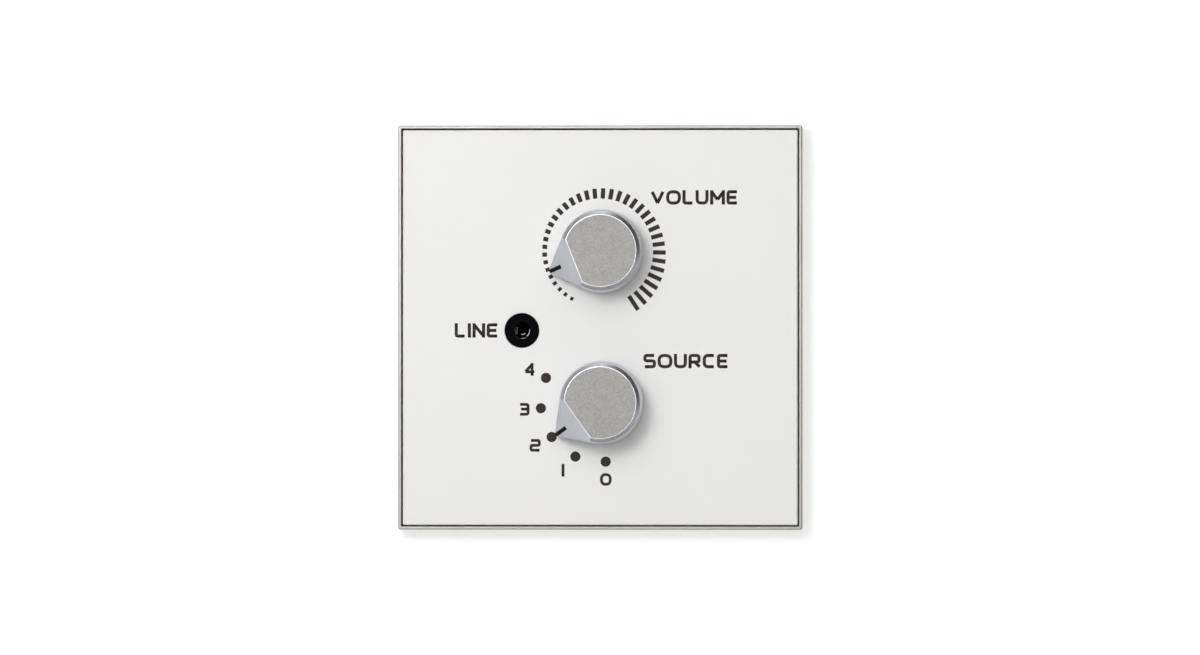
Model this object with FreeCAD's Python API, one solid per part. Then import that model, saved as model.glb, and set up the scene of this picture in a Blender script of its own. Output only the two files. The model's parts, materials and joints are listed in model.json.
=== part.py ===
import FreeCAD, Part
import math
import os

from FreeCAD import Vector

# A wall volume control: a square plate with a level knob, a five-way select knob and an audio socket.
# Millimetres. X runs to the right as seen from the front, Z is up, and the front looks along -Y.
# The wall is the plane y = 0: the plate stands in front of it, and the works lie behind it in the wall box.
# Angles of the knobs and scales are degrees clockwise from straight down, as seen from the front.

# Mounting frame, a folded metal tray
frame_size = 83.0
frame_depth = 8.0
sheet = 0.7
frame_corner_r = 0.4
rim_round = 0.2
screw_spacing = 60.0
screw_slot_width = 4.2
screw_slot_length = 7.5

# Front plate
plate_gap = 0.25
plate_thickness = 3.0
plate_proud = 0.2
plate_edge_bevel = 0.25
plate_corner_r = 0.3
plate_shaft_hole_gap = 1.7

# Snap posts under the plate and their pressed seats in the tray
post_inset = 7.5
post_r = 2.0
post_shoulder_width = 1.5
post_barb = 0.45
post_slit = 0.8
post_fit = 0.1
post_tip_gap = 0.25
seat_width = 1.5
seat_rise = 1.6

# Places on the plate
knob_axis_x = 0.45
level_axis_z = 15.6
select_axis_z = -15.4
scale_x = 0.0
jack_x = -16.05
jack_z = -0.6

# Printed scales
print_thickness = 0.05
tick_count = 38
tick_first_angle = 30.9
tick_pitch_angle = 8.0
tick_inner_r = 10.9
tick_first_length = 0.75
tick_last_length = 3.4
tick_swell = 0.13
tick_first_width = 0.62
tick_width_step = 0.035
tick_width = 0.88
dot_count = 5
dot_pitch_angle = 30.0
dot_first_angle = -5.5
dot_ring_r = 12.2
dot_r = 1.05

# Travel of the knobs
level_travel = 300.0
level_first_stop = 29.0
level_rest = 68.6
select_rest_dot = 2
stop_clear_angle = 1.0

# Pointer knobs
knob_r = 8.58
knob_height = 12.0
knob_plate_gap = 0.6
knob_wall_height = 7.0
knob_shoulder_height = 11.4
knob_shoulder_inset = 0.36
knob_crown_drop = 0.12
knob_crown_inset = 1.0
knob_edge_inset = 1.24
pointer_reach = 11.5
pointer_tip_r = 0.45
facet_start = 5.8
facet_tip_height = 4.0
marker_length = 2.75
marker_width = 0.65
marker_depth = 0.25
knob_bore_depth = 9.8
knob_bore_end_gap = 0.3
knob_hub_wall = 1.75
knob_skirt_wall = 1.4
knob_hollow_depth = 5.0
clip_thickness = 0.5
clip_width = 3.6
clip_length = 7.0
clip_end_gap = 0.5

# Shafts, bushings and their fasteners
shaft_r = 3.0
shaft_flat = 1.5
shaft_flat_length = 8.0
shaft_fit = 0.05
bushing_wall = 0.95
bushing_length = 4.6
thread_pitch = 0.75
thread_depth = 0.3
flange_thickness = 1.2
flange_lip = 0.1
panel_fit = 0.1
lug_gap = 0.7
lug_width = 2.4
lug_thickness = 1.0
lug_proud = 0.5
lug_fit = 0.15
nut_flats = 11.0
nut_thickness = 2.0
washer_width = 2.2
washer_thickness = 0.5
washer_notches = 10
washer_notch_r = 0.45
retainer_width = 1.7
retainer_thickness = 0.4
retainer_opening_angle = 50.0
retainer_groove = 0.5
press_gap = 0.02
running_gap = 0.05

# Level potentiometer
pot_case_r = 8.3
pot_case_wall = 0.35
pot_case_depth = 6.2
pot_tab_angles = (80.0, 140.0, 220.0, 280.0)
pot_tab_width = 2.2
wafer_edge_gap = 0.25
wafer_thickness = 1.0
wafer_hole_gap = 0.4
wafer_ear_margin = 1.7
wafer_ear_end = 0.75
track_edge_gap = 0.5
track_width = 1.6
track_opening_angle = 80.0
track_thickness = 0.1
pot_pin_pitch = 5.0
pot_pin_outset = 1.55
pot_pin_width = 1.0
pot_pin_thickness = 0.5
pot_pin_foot = 1.6
pot_rotor_edge_gap = 0.95
pot_rotor_thickness = 1.7
pot_rotor_lift = 0.7
pot_hub_wall = 1.0
pot_hub_length = 0.8
pot_stop_lug_gap = 0.2
pot_stop_half_angle = 6.0
wiper_thickness = 0.2
wiper_half_angle = 14.0
wiper_plate_half_angle = 42.0
wiper_foot_width = 0.8

# Select switch
switch_case_r = 8.75
switch_case_wall = 0.75
switch_depth = 9.0
switch_base_thickness = 1.4
switch_rotor_edge_gap = 1.4
switch_rotor_lift = 1.8
switch_shaft_end_wall = 0.4
detents = 12
detent_place = 3
detent_notch_r = 0.6
detent_notch_outset = 0.15
detent_nose_r = 0.5
detent_leaf_thickness = 0.25
detent_leaf_width = 2.2
contact_ring_r = 6.0
contact_pad_r = 0.9
contact_pin_r = 0.4
common_outer_r = 3.7
common_inner_r = 2.3
contact_thickness = 0.1
bridge_width = 1.8
bridge_foot_r = 0.5
bridge_foot_height = 0.85
stop_washer_thickness = 0.4
stop_inner_r = 5.0
stop_outer_r = 6.3
stop_lug_half_angle = 8.0
stop_peg_half_angle = 5.0
stop_slot_margin_angle = 1.0

# Audio socket
jack_barrel_r = 3.45
jack_barrel_proud = 0.3
jack_bore_r = 1.8
jack_hole_fit = 0.15
jack_body_half = 5.0
jack_lip = 1.0
jack_front_wall = 0.6
jack_back_wall = 1.4
sleeve_wall = 0.4
sleeve_end_gap = 0.8
sleeve_tail_place = 2.65
sleeve_tail_width = 1.4
sleeve_bridge_depth = 0.8
jack_chamber_depth = 6.8
jack_chamber_left = -3.4
jack_chamber_right = 4.5
jack_spring_width = 1.6
jack_spring_thickness = 0.25
jack_chamber_fit = 0.15
jack_pin_width = 0.8

# Lines of the socket's contact springs: (x, distance in front of the foot), from the foot to the free end
tip_spring_line = ((2.4, 0.0), (2.4, 0.6), (2.9, 2.2), (1.5, 4.2), (2.2, 5.3))
ring_spring_line = ((-2.6, 0.0), (-2.6, 3.2), (-1.5, 5.4), (-2.2, 6.5))
switch_spring_line = ((4.0, 0.0), (4.0, 0.8), (3.35, 2.1), (3.35, 3.0))

# Circuit board and how it is held
board_width = 46.0
board_end_margin = 1.8
board_corner = 10.0
board_thickness = 1.6
spacer_length = 10.0
spacer_flats = 5.0
spacer_shank_r = 2.1
spacer_thread_r = 1.25
spacer_thread_depth = 8.0
spacer_inset_x = 6.0
spacer_inset_z = 9.0
board_screw_hole_gap = 0.35
board_screw_head_r = 2.75
board_screw_head_height = 1.9
board_screw_crown = 0.6
board_screw_rim = 1.0
board_screw_length = 6.0
board_screw_recess_width = 0.7
board_screw_recess_length = 3.2
board_screw_recess_depth = 1.0
pin_fit = 0.15
pin_tail = 1.4
solder_height = 0.9
solder_foot = 0.35
solder_top = 0.12

# Terminal blocks
terminal_pitch = 3.81
control_ways = 6
control_x = 0.0
control_z = 15.8
control_turn = 0.0
audio_ways = 4
audio_x = 1.5
audio_z = -1.5
audio_turn = 180.0
header_wall = 0.9
header_floor = 1.8
header_height = 7.2
header_depth = 9.2
header_side_margin = 0.3
header_pin_width = 0.9
header_pin_below_mouth = 1.2
key_width = 1.2
key_depth = 3.0
plug_fit = 0.15
plug_insertion = 7.0
plug_collar = 0.3
plug_body_height = 8.4
plug_body_depth = 8.8
plug_bevel = 0.4
wire_entry = 2.6
cage_outer = 3.0
cage_wall = 0.35
cage_length = 4.6
cage_setback = 2.2
cage_fit = 0.05
clamp_screw_r = 1.3
clamp_screw_shank_r = 0.75
clamp_screw_slot = 0.5
clamp_screw_slot_depth = 0.6
clamp_screw_hole_fit = 0.15
clamp_screw_sunk = 0.4
fork_thickness = 0.3
fork_width = 1.2
fork_setback = 1.0

# Parts soldered to the board
amplifier_inset = 4.4
amplifier_z = -0.5
amplifier_width = 3.9
amplifier_height = 4.9
amplifier_thickness = 1.4
amplifier_lift = 0.1
amplifier_dimple_r = 0.4
amplifier_dimple_inset = 0.8
amplifier_dimple_depth = 0.1
amplifier_leads = 4
amplifier_lead_pitch = 1.27
amplifier_lead_width = 0.4
amplifier_lead_thickness = 0.2
amplifier_lead_span = 6.0
amplifier_lead_lean = 0.15
chip_length = 2.0
chip_width = 1.25
chip_thickness = 0.6
ladder_count = 5
ladder_pitch = 4.0
ladder_gap = 1.425
chip_capacitor_places = ((-18.5, 8.0), (-13.5, 8.0), (-18.5, -8.0), (-13.5, -8.0), (14.0, -8.5), (18.5, -8.5))
can_r = 2.5
can_length = 7.0
can_places = ((14.5, 4.2), (14.5, -4.8))
can_sleeve_wall = 0.1
can_groove = 0.25
can_groove_place = 1.3
can_lead_pitch = 2.0
can_lead_r = 0.25

# Planes across the depth
wall_y = 0.0
floor_front_y = wall_y - sheet
rim_front_y = wall_y - frame_depth
plate_front_y = rim_front_y - plate_proud
plate_back_y = plate_front_y + plate_thickness
seat_front_y = floor_front_y - seat_rise
seat_back_y = wall_y - seat_rise
flange_back_y = wall_y + flange_thickness
bushing_front_y = wall_y - bushing_length
retainer_back_y = bushing_front_y - running_gap
retainer_front_y = retainer_back_y - retainer_thickness
knob_back_y = plate_front_y - knob_plate_gap
knob_front_y = knob_back_y - knob_height
knob_bore_end_y = knob_back_y - knob_bore_depth
shaft_front_y = knob_bore_end_y + knob_bore_end_gap
shaft_shoulder_y = shaft_front_y + shaft_flat_length
wafer_back_y = flange_back_y + wafer_thickness
pot_rotor_front_y = wafer_back_y + pot_rotor_lift
pot_rotor_back_y = pot_rotor_front_y + pot_rotor_thickness
pot_hub_back_y = pot_rotor_back_y + pot_hub_length
switch_base_back_y = wall_y + switch_depth
switch_base_front_y = switch_base_back_y - switch_base_thickness
contact_front_y = switch_base_front_y - contact_thickness
bridge_back_y = contact_front_y - running_gap - bridge_foot_height
switch_rotor_front_y = flange_back_y + switch_rotor_lift
switch_rotor_back_y = bridge_back_y - wiper_thickness
switch_stop_back_y = switch_rotor_front_y - running_gap
board_front_y = wall_y + spacer_length
board_back_y = board_front_y + board_thickness
pin_end_y = board_back_y + pin_tail
jack_front_y = plate_front_y - jack_barrel_proud
jack_chamber_back_y = board_front_y - jack_back_wall
jack_chamber_front_y = jack_chamber_back_y - jack_chamber_depth
jack_body_front_y = jack_chamber_front_y - jack_front_wall
sleeve_front_y = jack_front_y + jack_lip
sleeve_back_y = jack_chamber_front_y - sleeve_end_gap
header_mouth_y = board_back_y + header_depth
header_floor_y = board_back_y + header_floor
plug_nose_y = header_mouth_y - plug_insertion
plug_body_y = header_mouth_y + plug_collar
plug_back_y = plug_body_y + plug_body_depth
cage_front_y = plug_body_y + cage_setback
cage_back_y = cage_front_y + cage_length

# Sizes that follow from those above
plate_size = frame_size - 2 * (sheet + plate_gap)
post_place = frame_size / 2 - post_inset
seat_hole_r = post_r + post_fit
seat_r = post_r + post_shoulder_width + seat_width
bushing_bore_r = shaft_r + shaft_fit
bushing_r = bushing_bore_r + bushing_wall
bushing_hole_r = bushing_r + panel_fit
washer_r = bushing_r + washer_width
lug_place = washer_r + lug_gap + lug_thickness / 2
retainer_r = shaft_r - retainer_groove + retainer_width
plate_shaft_hole_r = shaft_r + plate_shaft_hole_gap
pot_inner_r = pot_case_r - pot_case_wall
pot_rotor_r = pot_inner_r - pot_rotor_edge_gap
wafer_r = pot_inner_r - wafer_edge_gap
wafer_ear_half = pot_pin_pitch + wafer_ear_margin
pot_pin_place = pot_case_r + pot_pin_outset
track_outer_r = pot_rotor_r - track_edge_gap
track_inner_r = track_outer_r - track_width
switch_inner_r = switch_case_r - switch_case_wall
switch_rotor_r = switch_inner_r - switch_rotor_edge_gap
detent_notch_place = switch_rotor_r + detent_notch_outset
detent_angle = detent_place * 360.0 / detents
select_rest = dot_first_angle + select_rest_dot * dot_pitch_angle
select_travel = (dot_count - 1) * dot_pitch_angle
select_last_stop = dot_first_angle + select_travel
stop_spread = stop_lug_half_angle + stop_peg_half_angle + stop_clear_angle
stop_peg_angle = dot_first_angle + 180.0 - stop_spread
stop_tab_angle = select_last_stop + 180.0 + stop_spread
common_pin_r = (common_outer_r + common_inner_r) / 2
ladder_z = select_axis_z - contact_ring_r - contact_pin_r - solder_foot - ladder_gap - chip_width / 2
board_height = 2 * (board_end_margin - ladder_z)
spacer_x = board_width / 2 - spacer_inset_x
spacer_z = board_height / 2 - spacer_inset_z
board_screw_hole_r = spacer_thread_r + board_screw_hole_gap
amplifier_x = board_width / 2 - amplifier_inset
header_cavity_half = header_height / 2 - header_wall
clamp_screw_y = (cage_front_y + cage_back_y) / 2


def spot(radius, angle):
    """The place at a radius and an angle clockwise from straight down."""
    turn_by = math.radians(angle)
    return -radius * math.sin(turn_by), -radius * math.cos(turn_by)


def moved(shape, x, z):
    """A copy of the shape set at a place on the plate."""
    copy = shape.copy()
    copy.translate(Vector(x, 0, z))
    return copy


def turned(shape, angle):
    """A copy turned clockwise about the depth axis, as seen from the front."""
    copy = shape.copy()
    copy.rotate(Vector(0, 0, 0), Vector(0, 1, 0), angle)
    return copy


def block(x0, x1, y0, y1, z0, z1):
    """A box between two corners."""
    return Part.makeBox(x1 - x0, y1 - y0, z1 - z0, Vector(x0, y0, z0))


def rod(radius, y0, y1, x=0.0, z=0.0):
    """A round bar along the depth."""
    return Part.makeCylinder(radius, y1 - y0, Vector(x, y0, z), Vector(0, 1, 0))


def ring(outer, inner, y0, y1, x=0.0, z=0.0):
    """A round tube along the depth."""
    return rod(outer, y0, y1, x, z).cut(rod(inner, y0, y1, x, z))


def taper(r0, r1, y0, y1, x, z):
    """A cone stub along the depth."""
    return Part.makeCone(r0, r1, y1 - y0, Vector(x, y0, z), Vector(0, 1, 0))


def prism(points, y0, y1):
    """An outline of (x, z) points run along the depth."""
    corners = [Vector(x, y0, z) for x, z in points]
    face = Part.Face(Part.makePolygon(corners + corners[:1]))
    return face.extrude(Vector(0, y1 - y0, 0))


def side_prism(points, x0, x1):
    """An outline of (y, z) points run along X."""
    corners = [Vector(x0, y, z) for y, z in points]
    face = Part.Face(Part.makePolygon(corners + corners[:1]))
    return face.extrude(Vector(x1 - x0, 0, 0))


def flat_prism(points, z0, z1):
    """An outline of (x, y) points run along Z."""
    corners = [Vector(x, y, z0) for x, y in points]
    face = Part.Face(Part.makePolygon(corners + corners[:1]))
    return face.extrude(Vector(0, 0, z1 - z0))


def lathe(profile, start=0.0, sweep=360.0):
    """A profile of (radius, y) points turned about the depth axis, from a start angle."""
    corners = [Vector(0, y, -radius) for radius, y in profile]
    face = Part.Face(Part.makePolygon(corners + corners[:1]))
    solid = face.revolve(Vector(0, 0, 0), Vector(0, 1, 0), sweep)
    return turned(solid, start)


def sector(outer, inner, y0, y1, middle, half_angle):
    """A piece of a flat ring, either side of a middle angle."""
    profile = [(inner, y0), (outer, y0), (outer, y1), (inner, y1)]
    return lathe(profile, middle - half_angle, 2 * half_angle)


def hexagon(flats, y0, y1):
    """A hexagonal bar along the depth, measured across its flats."""
    corner_r = flats / math.sqrt(3)
    return prism([spot(corner_r, 60 * i) for i in range(6)], y0, y1)


def rounded_square(size, corner_r, y0, y1):
    """A square slab with round corners."""
    half = size / 2
    slab = block(-half, half, y0, y1, -half, half)
    upright = [e for e in slab.Edges if abs(e.Vertexes[0].Y - e.Vertexes[1].Y) > 0.5 * (y1 - y0)]
    return slab.makeFillet(corner_r, upright)


def ribbon(points, thickness):
    """The closed outline of a bent strip whose middle follows the points."""
    near, far = [], []
    for i, (u, v) in enumerate(points):
        normals = []
        for a, b in ((i - 1, i), (i, i + 1)):
            if a >= 0 and b < len(points):
                du = points[b][0] - points[a][0]
                dv = points[b][1] - points[a][1]
                run = math.hypot(du, dv)
                normals.append((-dv / run, du / run))
        nu = sum(n[0] for n in normals)
        nv = sum(n[1] for n in normals)
        scale = thickness / 2 * len(normals) / (nu * nu + nv * nv)
        near.append((u + nu * scale, v + nv * scale))
        far.append((u - nu * scale, v - nv * scale))
    return near + far[::-1]


def joined(shapes):
    """One solid from touching shapes."""
    whole = shapes[0]
    for shape in shapes[1:]:
        whole = whole.fuse(shape)
    return whole.removeSplitter()


def without(shape, *cutters):
    """The shape with each cutter taken out of it."""
    for cutter in cutters:
        shape = shape.cut(cutter)
    return shape


def post_places():
    return [(sx * post_place, sz * post_place) for sx in (-1, 1) for sz in (-1, 1)]


def spacer_places():
    return [(sx * spacer_x, sz * spacer_z) for sx in (-1, 1) for sz in (-1, 1)]


def control_axes():
    return [(knob_axis_x, level_axis_z), (knob_axis_x, select_axis_z)]


def placed(places, axis):
    """Places counted from an axis, set on the plate."""
    return [(axis[0] + x, axis[1] + z) for x, z in places]


def front_edges(solid, y):
    """The edges of a solid that lie in one plane across the depth."""
    return [e for e in solid.Edges if all(abs(v.Y - y) < 1e-6 for v in e.Vertexes)]


def screw_slot(x):
    """A slot along X through the tray's floor, for a wall screw."""
    half_run = (screw_slot_length - screw_slot_width) / 2
    half = screw_slot_width / 2
    middle = block(x - half_run, x + half_run, floor_front_y, wall_y, -half, half)
    ends = [rod(half, floor_front_y, wall_y, x + side * half_run) for side in (-1, 1)]
    return joined([middle] + ends)


def lug(y0, y1, fit=0.0):
    """The tab above a bushing that stops its body from turning in the tray."""
    half = lug_width / 2 + fit
    low = lug_place - lug_thickness / 2 - fit
    high = lug_place + lug_thickness / 2 + fit
    return block(-half, half, y0, y1, low, high)


def mounting_frame():
    """The folded tray that goes against the wall and shows as a thin rim round the plate."""
    inner_size = frame_size - 2 * sheet
    outer = rounded_square(frame_size, frame_corner_r, rim_front_y, wall_y)
    inner = rounded_square(inner_size, max(frame_corner_r - sheet, 0.1), rim_front_y, floor_front_y)
    tray = outer.cut(inner)
    tray = tray.makeFillet(min(rim_round, 0.4 * sheet), front_edges(tray, rim_front_y))
    for x, z in post_places():
        tray = tray.fuse(rod(seat_r, seat_front_y, floor_front_y, x, z))
        tray = tray.cut(rod(seat_r - sheet, seat_back_y, wall_y, x, z))
        tray = tray.cut(rod(seat_hole_r, seat_front_y, seat_back_y, x, z))
    for side in (-1, 1):
        tray = tray.cut(screw_slot(side * screw_spacing / 2))
    for x, z in control_axes():
        tray = tray.cut(rod(bushing_hole_r, floor_front_y, wall_y, x, z))
        tray = tray.cut(moved(lug(floor_front_y, wall_y, lug_fit), x, z))
    tray = tray.cut(rod(jack_barrel_r + jack_hole_fit, floor_front_y, wall_y, jack_x, jack_z))
    for x, z in spacer_places():
        tray = tray.cut(rod(spacer_shank_r + press_gap, floor_front_y, wall_y, x, z))
    return tray


def snap_post():
    """A split stem whose barb holds behind the tray's pressed seat."""
    barb_y = seat_back_y + running_gap
    tip_y = wall_y - post_tip_gap
    stem = rod(post_r, seat_front_y, barb_y)
    barb = lathe([(0, barb_y), (post_r + post_barb, barb_y), (post_r - post_barb, tip_y), (0, tip_y)])
    slit = block(-post_slit / 2, post_slit / 2, seat_front_y, wall_y, -seat_r, seat_r)
    return joined([stem, barb]).cut(slit)


def front_plate():
    """The white panel, with its snap posts moulded on."""
    slab = rounded_square(plate_size, plate_corner_r, plate_front_y, plate_back_y)
    slab = slab.makeChamfer(plate_edge_bevel, front_edges(slab, plate_front_y))
    for x, z in control_axes():
        slab = slab.cut(rod(plate_shaft_hole_r, plate_front_y, plate_back_y, x, z))
    slab = slab.cut(rod(jack_barrel_r + jack_hole_fit, plate_front_y, plate_back_y, jack_x, jack_z))
    shoulder = rod(post_r + post_shoulder_width, plate_back_y, seat_front_y)
    stem = snap_post()
    for x, z in post_places():
        slab = slab.fuse(moved(shoulder, x, z)).fuse(moved(stem, x, z))
    return slab.removeSplitter()


def tick_length(part):
    """How long a bar is, from 0 at the first to 1 at the last, in two swells."""
    share = part - tick_swell * math.sin(2 * math.pi * part) ** 2
    return tick_first_length + (tick_last_length - tick_first_length) * share


def level_scale_print():
    """The bars that grow round the level knob."""
    bars = []
    for i in range(tick_count):
        half = min(tick_first_width + i * tick_width_step, tick_width) / 2
        outer = tick_inner_r + tick_length(i / (tick_count - 1))
        bar = block(-half, half, plate_front_y - print_thickness, plate_front_y, -outer, -tick_inner_r)
        bars.append(moved(turned(bar, tick_first_angle + i * tick_pitch_angle), scale_x, level_axis_z))
    return bars


def dot_angles():
    """The five positions, clockwise from straight down."""
    return [dot_first_angle + i * dot_pitch_angle for i in range(dot_count)]


def select_dots_print():
    """The five dots round the select knob."""
    places = placed([spot(dot_ring_r, angle) for angle in dot_angles()], (scale_x, select_axis_z))
    return [rod(dot_r, plate_front_y - print_thickness, plate_front_y, x, z) for x, z in places]


def teardrop(inset, y):
    """The knob's outline, drawn in by an inset: a circle and two tangents to a small round tip."""
    lean = math.asin((knob_r - pointer_tip_r) / (pointer_reach - pointer_tip_r))
    radius = knob_r - inset
    tip_r = max(pointer_tip_r - inset, 0.05)
    tip_z = -(radius - tip_r) / math.sin(lean)
    side_x, side_z = math.cos(lean), -math.sin(lean)

    def touch(side, r, z):
        return Vector(side * r * side_x, y, z + r * side_z)

    round_part = Part.Arc(touch(1, radius, 0), Vector(0, y, radius), touch(-1, radius, 0))
    tip = Part.Arc(touch(-1, tip_r, tip_z), Vector(0, y, tip_z - tip_r), touch(1, tip_r, tip_z))
    down = Part.LineSegment(touch(-1, radius, 0), touch(-1, tip_r, tip_z))
    back = Part.LineSegment(touch(1, tip_r, tip_z), touch(1, radius, 0))
    return Part.Wire([c.toShape() for c in (round_part, down, tip, back)])


def facet_line(depth):
    """Two (y, z) points of the pointer's sloping face, or of a plane that deep below it."""
    rise = knob_height - facet_tip_height
    run = pointer_reach - facet_start
    length = math.hypot(rise, run)
    shift_y = depth * run / length
    shift_z = depth * rise / length
    top = (knob_front_y + shift_y, -facet_start + shift_z)
    tip = (knob_back_y - facet_tip_height + shift_y, -pointer_reach + shift_z)
    above = (top[0] - rise, top[1] + run)
    below = (tip[0] + rise, tip[1] - run)
    return above, below


def knob_blank():
    """The knob's outside, before its bore: a tapered teardrop with its pointer's face sloped off."""
    stages = (
        (0.0, 0.0),
        (knob_wall_height, 0.0),
        (knob_shoulder_height, knob_shoulder_inset),
        (knob_height - knob_crown_drop, knob_crown_inset),
        (knob_height, knob_edge_inset),
    )
    wires = [teardrop(inset, knob_back_y - height) for height, inset in stages]
    blank = Part.makeLoft(wires, True, True)
    above, below = facet_line(0.0)
    far = (above[0], below[1])
    return blank.cut(side_prism([above, below, far], -knob_r, knob_r))


def marker_slab():
    """The groove for the marker line, along the pointer's face to its tip."""
    top, low = facet_line(0.0)
    deep_top, deep_low = facet_line(marker_depth)
    strip = side_prism([top, low, deep_low, deep_top], -marker_width / 2, marker_width / 2)
    reach = block(-knob_r, knob_r, knob_front_y, knob_back_y, -pointer_reach, marker_length - pointer_reach)
    return strip.common(reach)


def flatted(radius, flat, y0, y1):
    """A round bar with one flat, on the side away from the pointer."""
    return rod(radius, y0, y1).cut(block(-radius, radius, y0, y1, flat, radius))


def knob():
    """A pointer knob with a flatted bore, room for its clip and a ring hollow behind."""
    socket_r = shaft_r + shaft_fit
    pocket = shaft_flat + clip_thickness + 2 * running_gap
    bore = flatted(socket_r, pocket, knob_bore_end_y, shaft_shoulder_y)
    mouth = rod(socket_r, shaft_shoulder_y, knob_back_y)
    hollow_y = knob_back_y - knob_hollow_depth
    hollow = ring(knob_r - knob_skirt_wall, socket_r + knob_hub_wall, hollow_y, knob_back_y)
    return without(knob_blank(), bore, mouth, hollow, marker_slab())


def knob_marker():
    """The black line let into the pointer's face."""
    return knob_blank().common(marker_slab())


def knob_clip():
    """The leaf that grips the shaft's flat."""
    low = shaft_flat + running_gap
    y0 = shaft_front_y + clip_end_gap
    return block(-clip_width / 2, clip_width / 2, y0, y0 + clip_length, low, low + clip_thickness)


def shaft(back_y):
    """A shaft with a flatted front end and a groove for its retaining ring."""
    plain = rod(shaft_r, shaft_front_y, back_y)
    flat = block(-shaft_r, shaft_r, shaft_front_y, shaft_shoulder_y, shaft_flat, shaft_r)
    groove = ring(shaft_r, shaft_r - retainer_groove, retainer_front_y - press_gap, retainer_back_y + press_gap)
    return without(plain, flat, groove)


def shaft_retainer():
    """The open ring that keeps a shaft in its bushing."""
    inner = shaft_r - retainer_groove + press_gap
    half = 180.0 - retainer_opening_angle / 2
    return sector(retainer_r, inner, retainer_front_y, retainer_back_y, 180.0, half)


def threaded_bushing(flange_r):
    """A threaded collar on a round flange, with the lug that stops it turning."""
    root_r = bushing_r - thread_depth
    thread_end = bushing_front_y + thread_depth
    turns = max(int((floor_front_y - thread_end) / thread_pitch), 1)
    pitch = (floor_front_y - thread_end) / turns
    profile = [(bushing_bore_r, flange_back_y), (flange_r, flange_back_y)]
    profile += [(flange_r, wall_y), (bushing_r, wall_y)]
    for i in range(turns):
        crest = floor_front_y - i * pitch
        profile += [(bushing_r, crest), (root_r, crest - pitch / 2)]
    profile += [(bushing_r, thread_end), (root_r, bushing_front_y), (bushing_bore_r, bushing_front_y)]
    return lathe(profile).fuse(lug(floor_front_y - lug_proud, flange_back_y)).removeSplitter()


def toothed_washer():
    """A lock washer with a notched edge, on the tray's floor."""
    y0 = floor_front_y - washer_thickness
    washer = ring(washer_r, bushing_hole_r, y0, floor_front_y)
    for i in range(washer_notches):
        x, z = spot(washer_r, i * 360.0 / washer_notches)
        washer = washer.cut(rod(washer_notch_r, y0, floor_front_y, x, z))
    return washer


def panel_nut():
    """A thin hexagonal nut with bevelled corners."""
    back = floor_front_y - washer_thickness
    front = back - nut_thickness
    corner_r = nut_flats / math.sqrt(3)
    bevel = corner_r - nut_flats / 2
    cap = lathe([(0, back), (corner_r, back), (corner_r, front + bevel), (nut_flats / 2, front), (0, front)])
    return hexagon(nut_flats, front, back).common(cap).cut(rod(bushing_r + press_gap, front, back))


def pot_bushing():
    """The potentiometer's bushing, with notches in its flange for the cover's tabs."""
    body = threaded_bushing(pot_case_r + flange_lip)
    half = math.degrees((pot_tab_width / 2 + panel_fit) / pot_case_r)
    for angle in pot_tab_angles:
        notch = sector(pot_case_r + 2 * flange_lip, pot_inner_r - panel_fit, wall_y, flange_back_y, angle, half)
        body = body.cut(notch)
    return body


def pot_cover():
    """The potentiometer's metal cover, with its tabs, its terminal window and its stop."""
    back = flange_back_y + pot_case_depth
    inside = rod(pot_inner_r, flange_back_y, back - pot_case_wall)
    shell = rod(pot_case_r, flange_back_y, back).cut(inside)
    window_half = wafer_ear_half + pot_case_wall
    window_y = wafer_back_y + pot_pin_thickness + panel_fit
    shell = shell.cut(block(-window_half, window_half, flange_back_y, window_y, -pot_case_r, 0))
    half = math.degrees(pot_tab_width / 2 / pot_case_r)
    tabs = [sector(pot_case_r, pot_inner_r, wall_y, flange_back_y, angle, half) for angle in pot_tab_angles]
    spare = 180.0 - level_travel / 2
    stop = sector(
        pot_inner_r,
        pot_rotor_r + panel_fit,
        pot_rotor_front_y,
        back - pot_case_wall,
        level_first_stop - spare,
        spare - pot_stop_half_angle - stop_clear_angle,
    )
    return joined([shell, stop] + tabs)


def pot_wafer():
    """The resistance board, with an ear that carries the terminals."""
    disc = rod(wafer_r, flange_back_y, wafer_back_y)
    reach = pot_pin_place + wafer_ear_end
    ear = block(-wafer_ear_half, wafer_ear_half, flange_back_y, wafer_back_y, -reach, 0)
    return without(joined([disc, ear]), rod(shaft_r + wafer_hole_gap, flange_back_y, wafer_back_y))


def pot_track():
    """The printed carbon track, open at the terminal side."""
    back = wafer_back_y + track_thickness
    half = 180.0 - track_opening_angle / 2
    return sector(track_outer_r, track_inner_r, wafer_back_y, back, 180.0, half)


def pot_pin_places():
    """The three terminals, below the potentiometer's axis."""
    return [(i * pot_pin_pitch, -pot_pin_place) for i in (-1, 0, 1)]


def pot_terminals():
    """The flat terminals: riveted on the ear, then bent back through the circuit board."""
    half = pot_pin_width / 2
    low = -pot_pin_place - pot_pin_thickness / 2
    pins = []
    for x, _z in pot_pin_places():
        foot_y = wafer_back_y + pot_pin_thickness
        foot = block(x - half, x + half, wafer_back_y, foot_y, low, low + pot_pin_foot)
        leg = block(x - half, x + half, wafer_back_y, pin_end_y, low, low + pot_pin_thickness)
        pins.append(joined([foot, leg]))
    return pins


def pot_rotor():
    """The moulded rotor on the shaft's end, with its stop lug."""
    hub_r = shaft_r + pot_hub_wall
    arm = sector(
        pot_inner_r - pot_stop_lug_gap, hub_r, pot_rotor_front_y, pot_rotor_back_y, 0.0, pot_stop_half_angle
    )
    disc = rod(pot_rotor_r, pot_rotor_front_y, pot_rotor_back_y)
    hub = rod(hub_r, pot_rotor_back_y, pot_hub_back_y)
    return joined([disc, arm, hub]).cut(rod(shaft_r + press_gap, pot_rotor_front_y, pot_hub_back_y))


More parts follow.
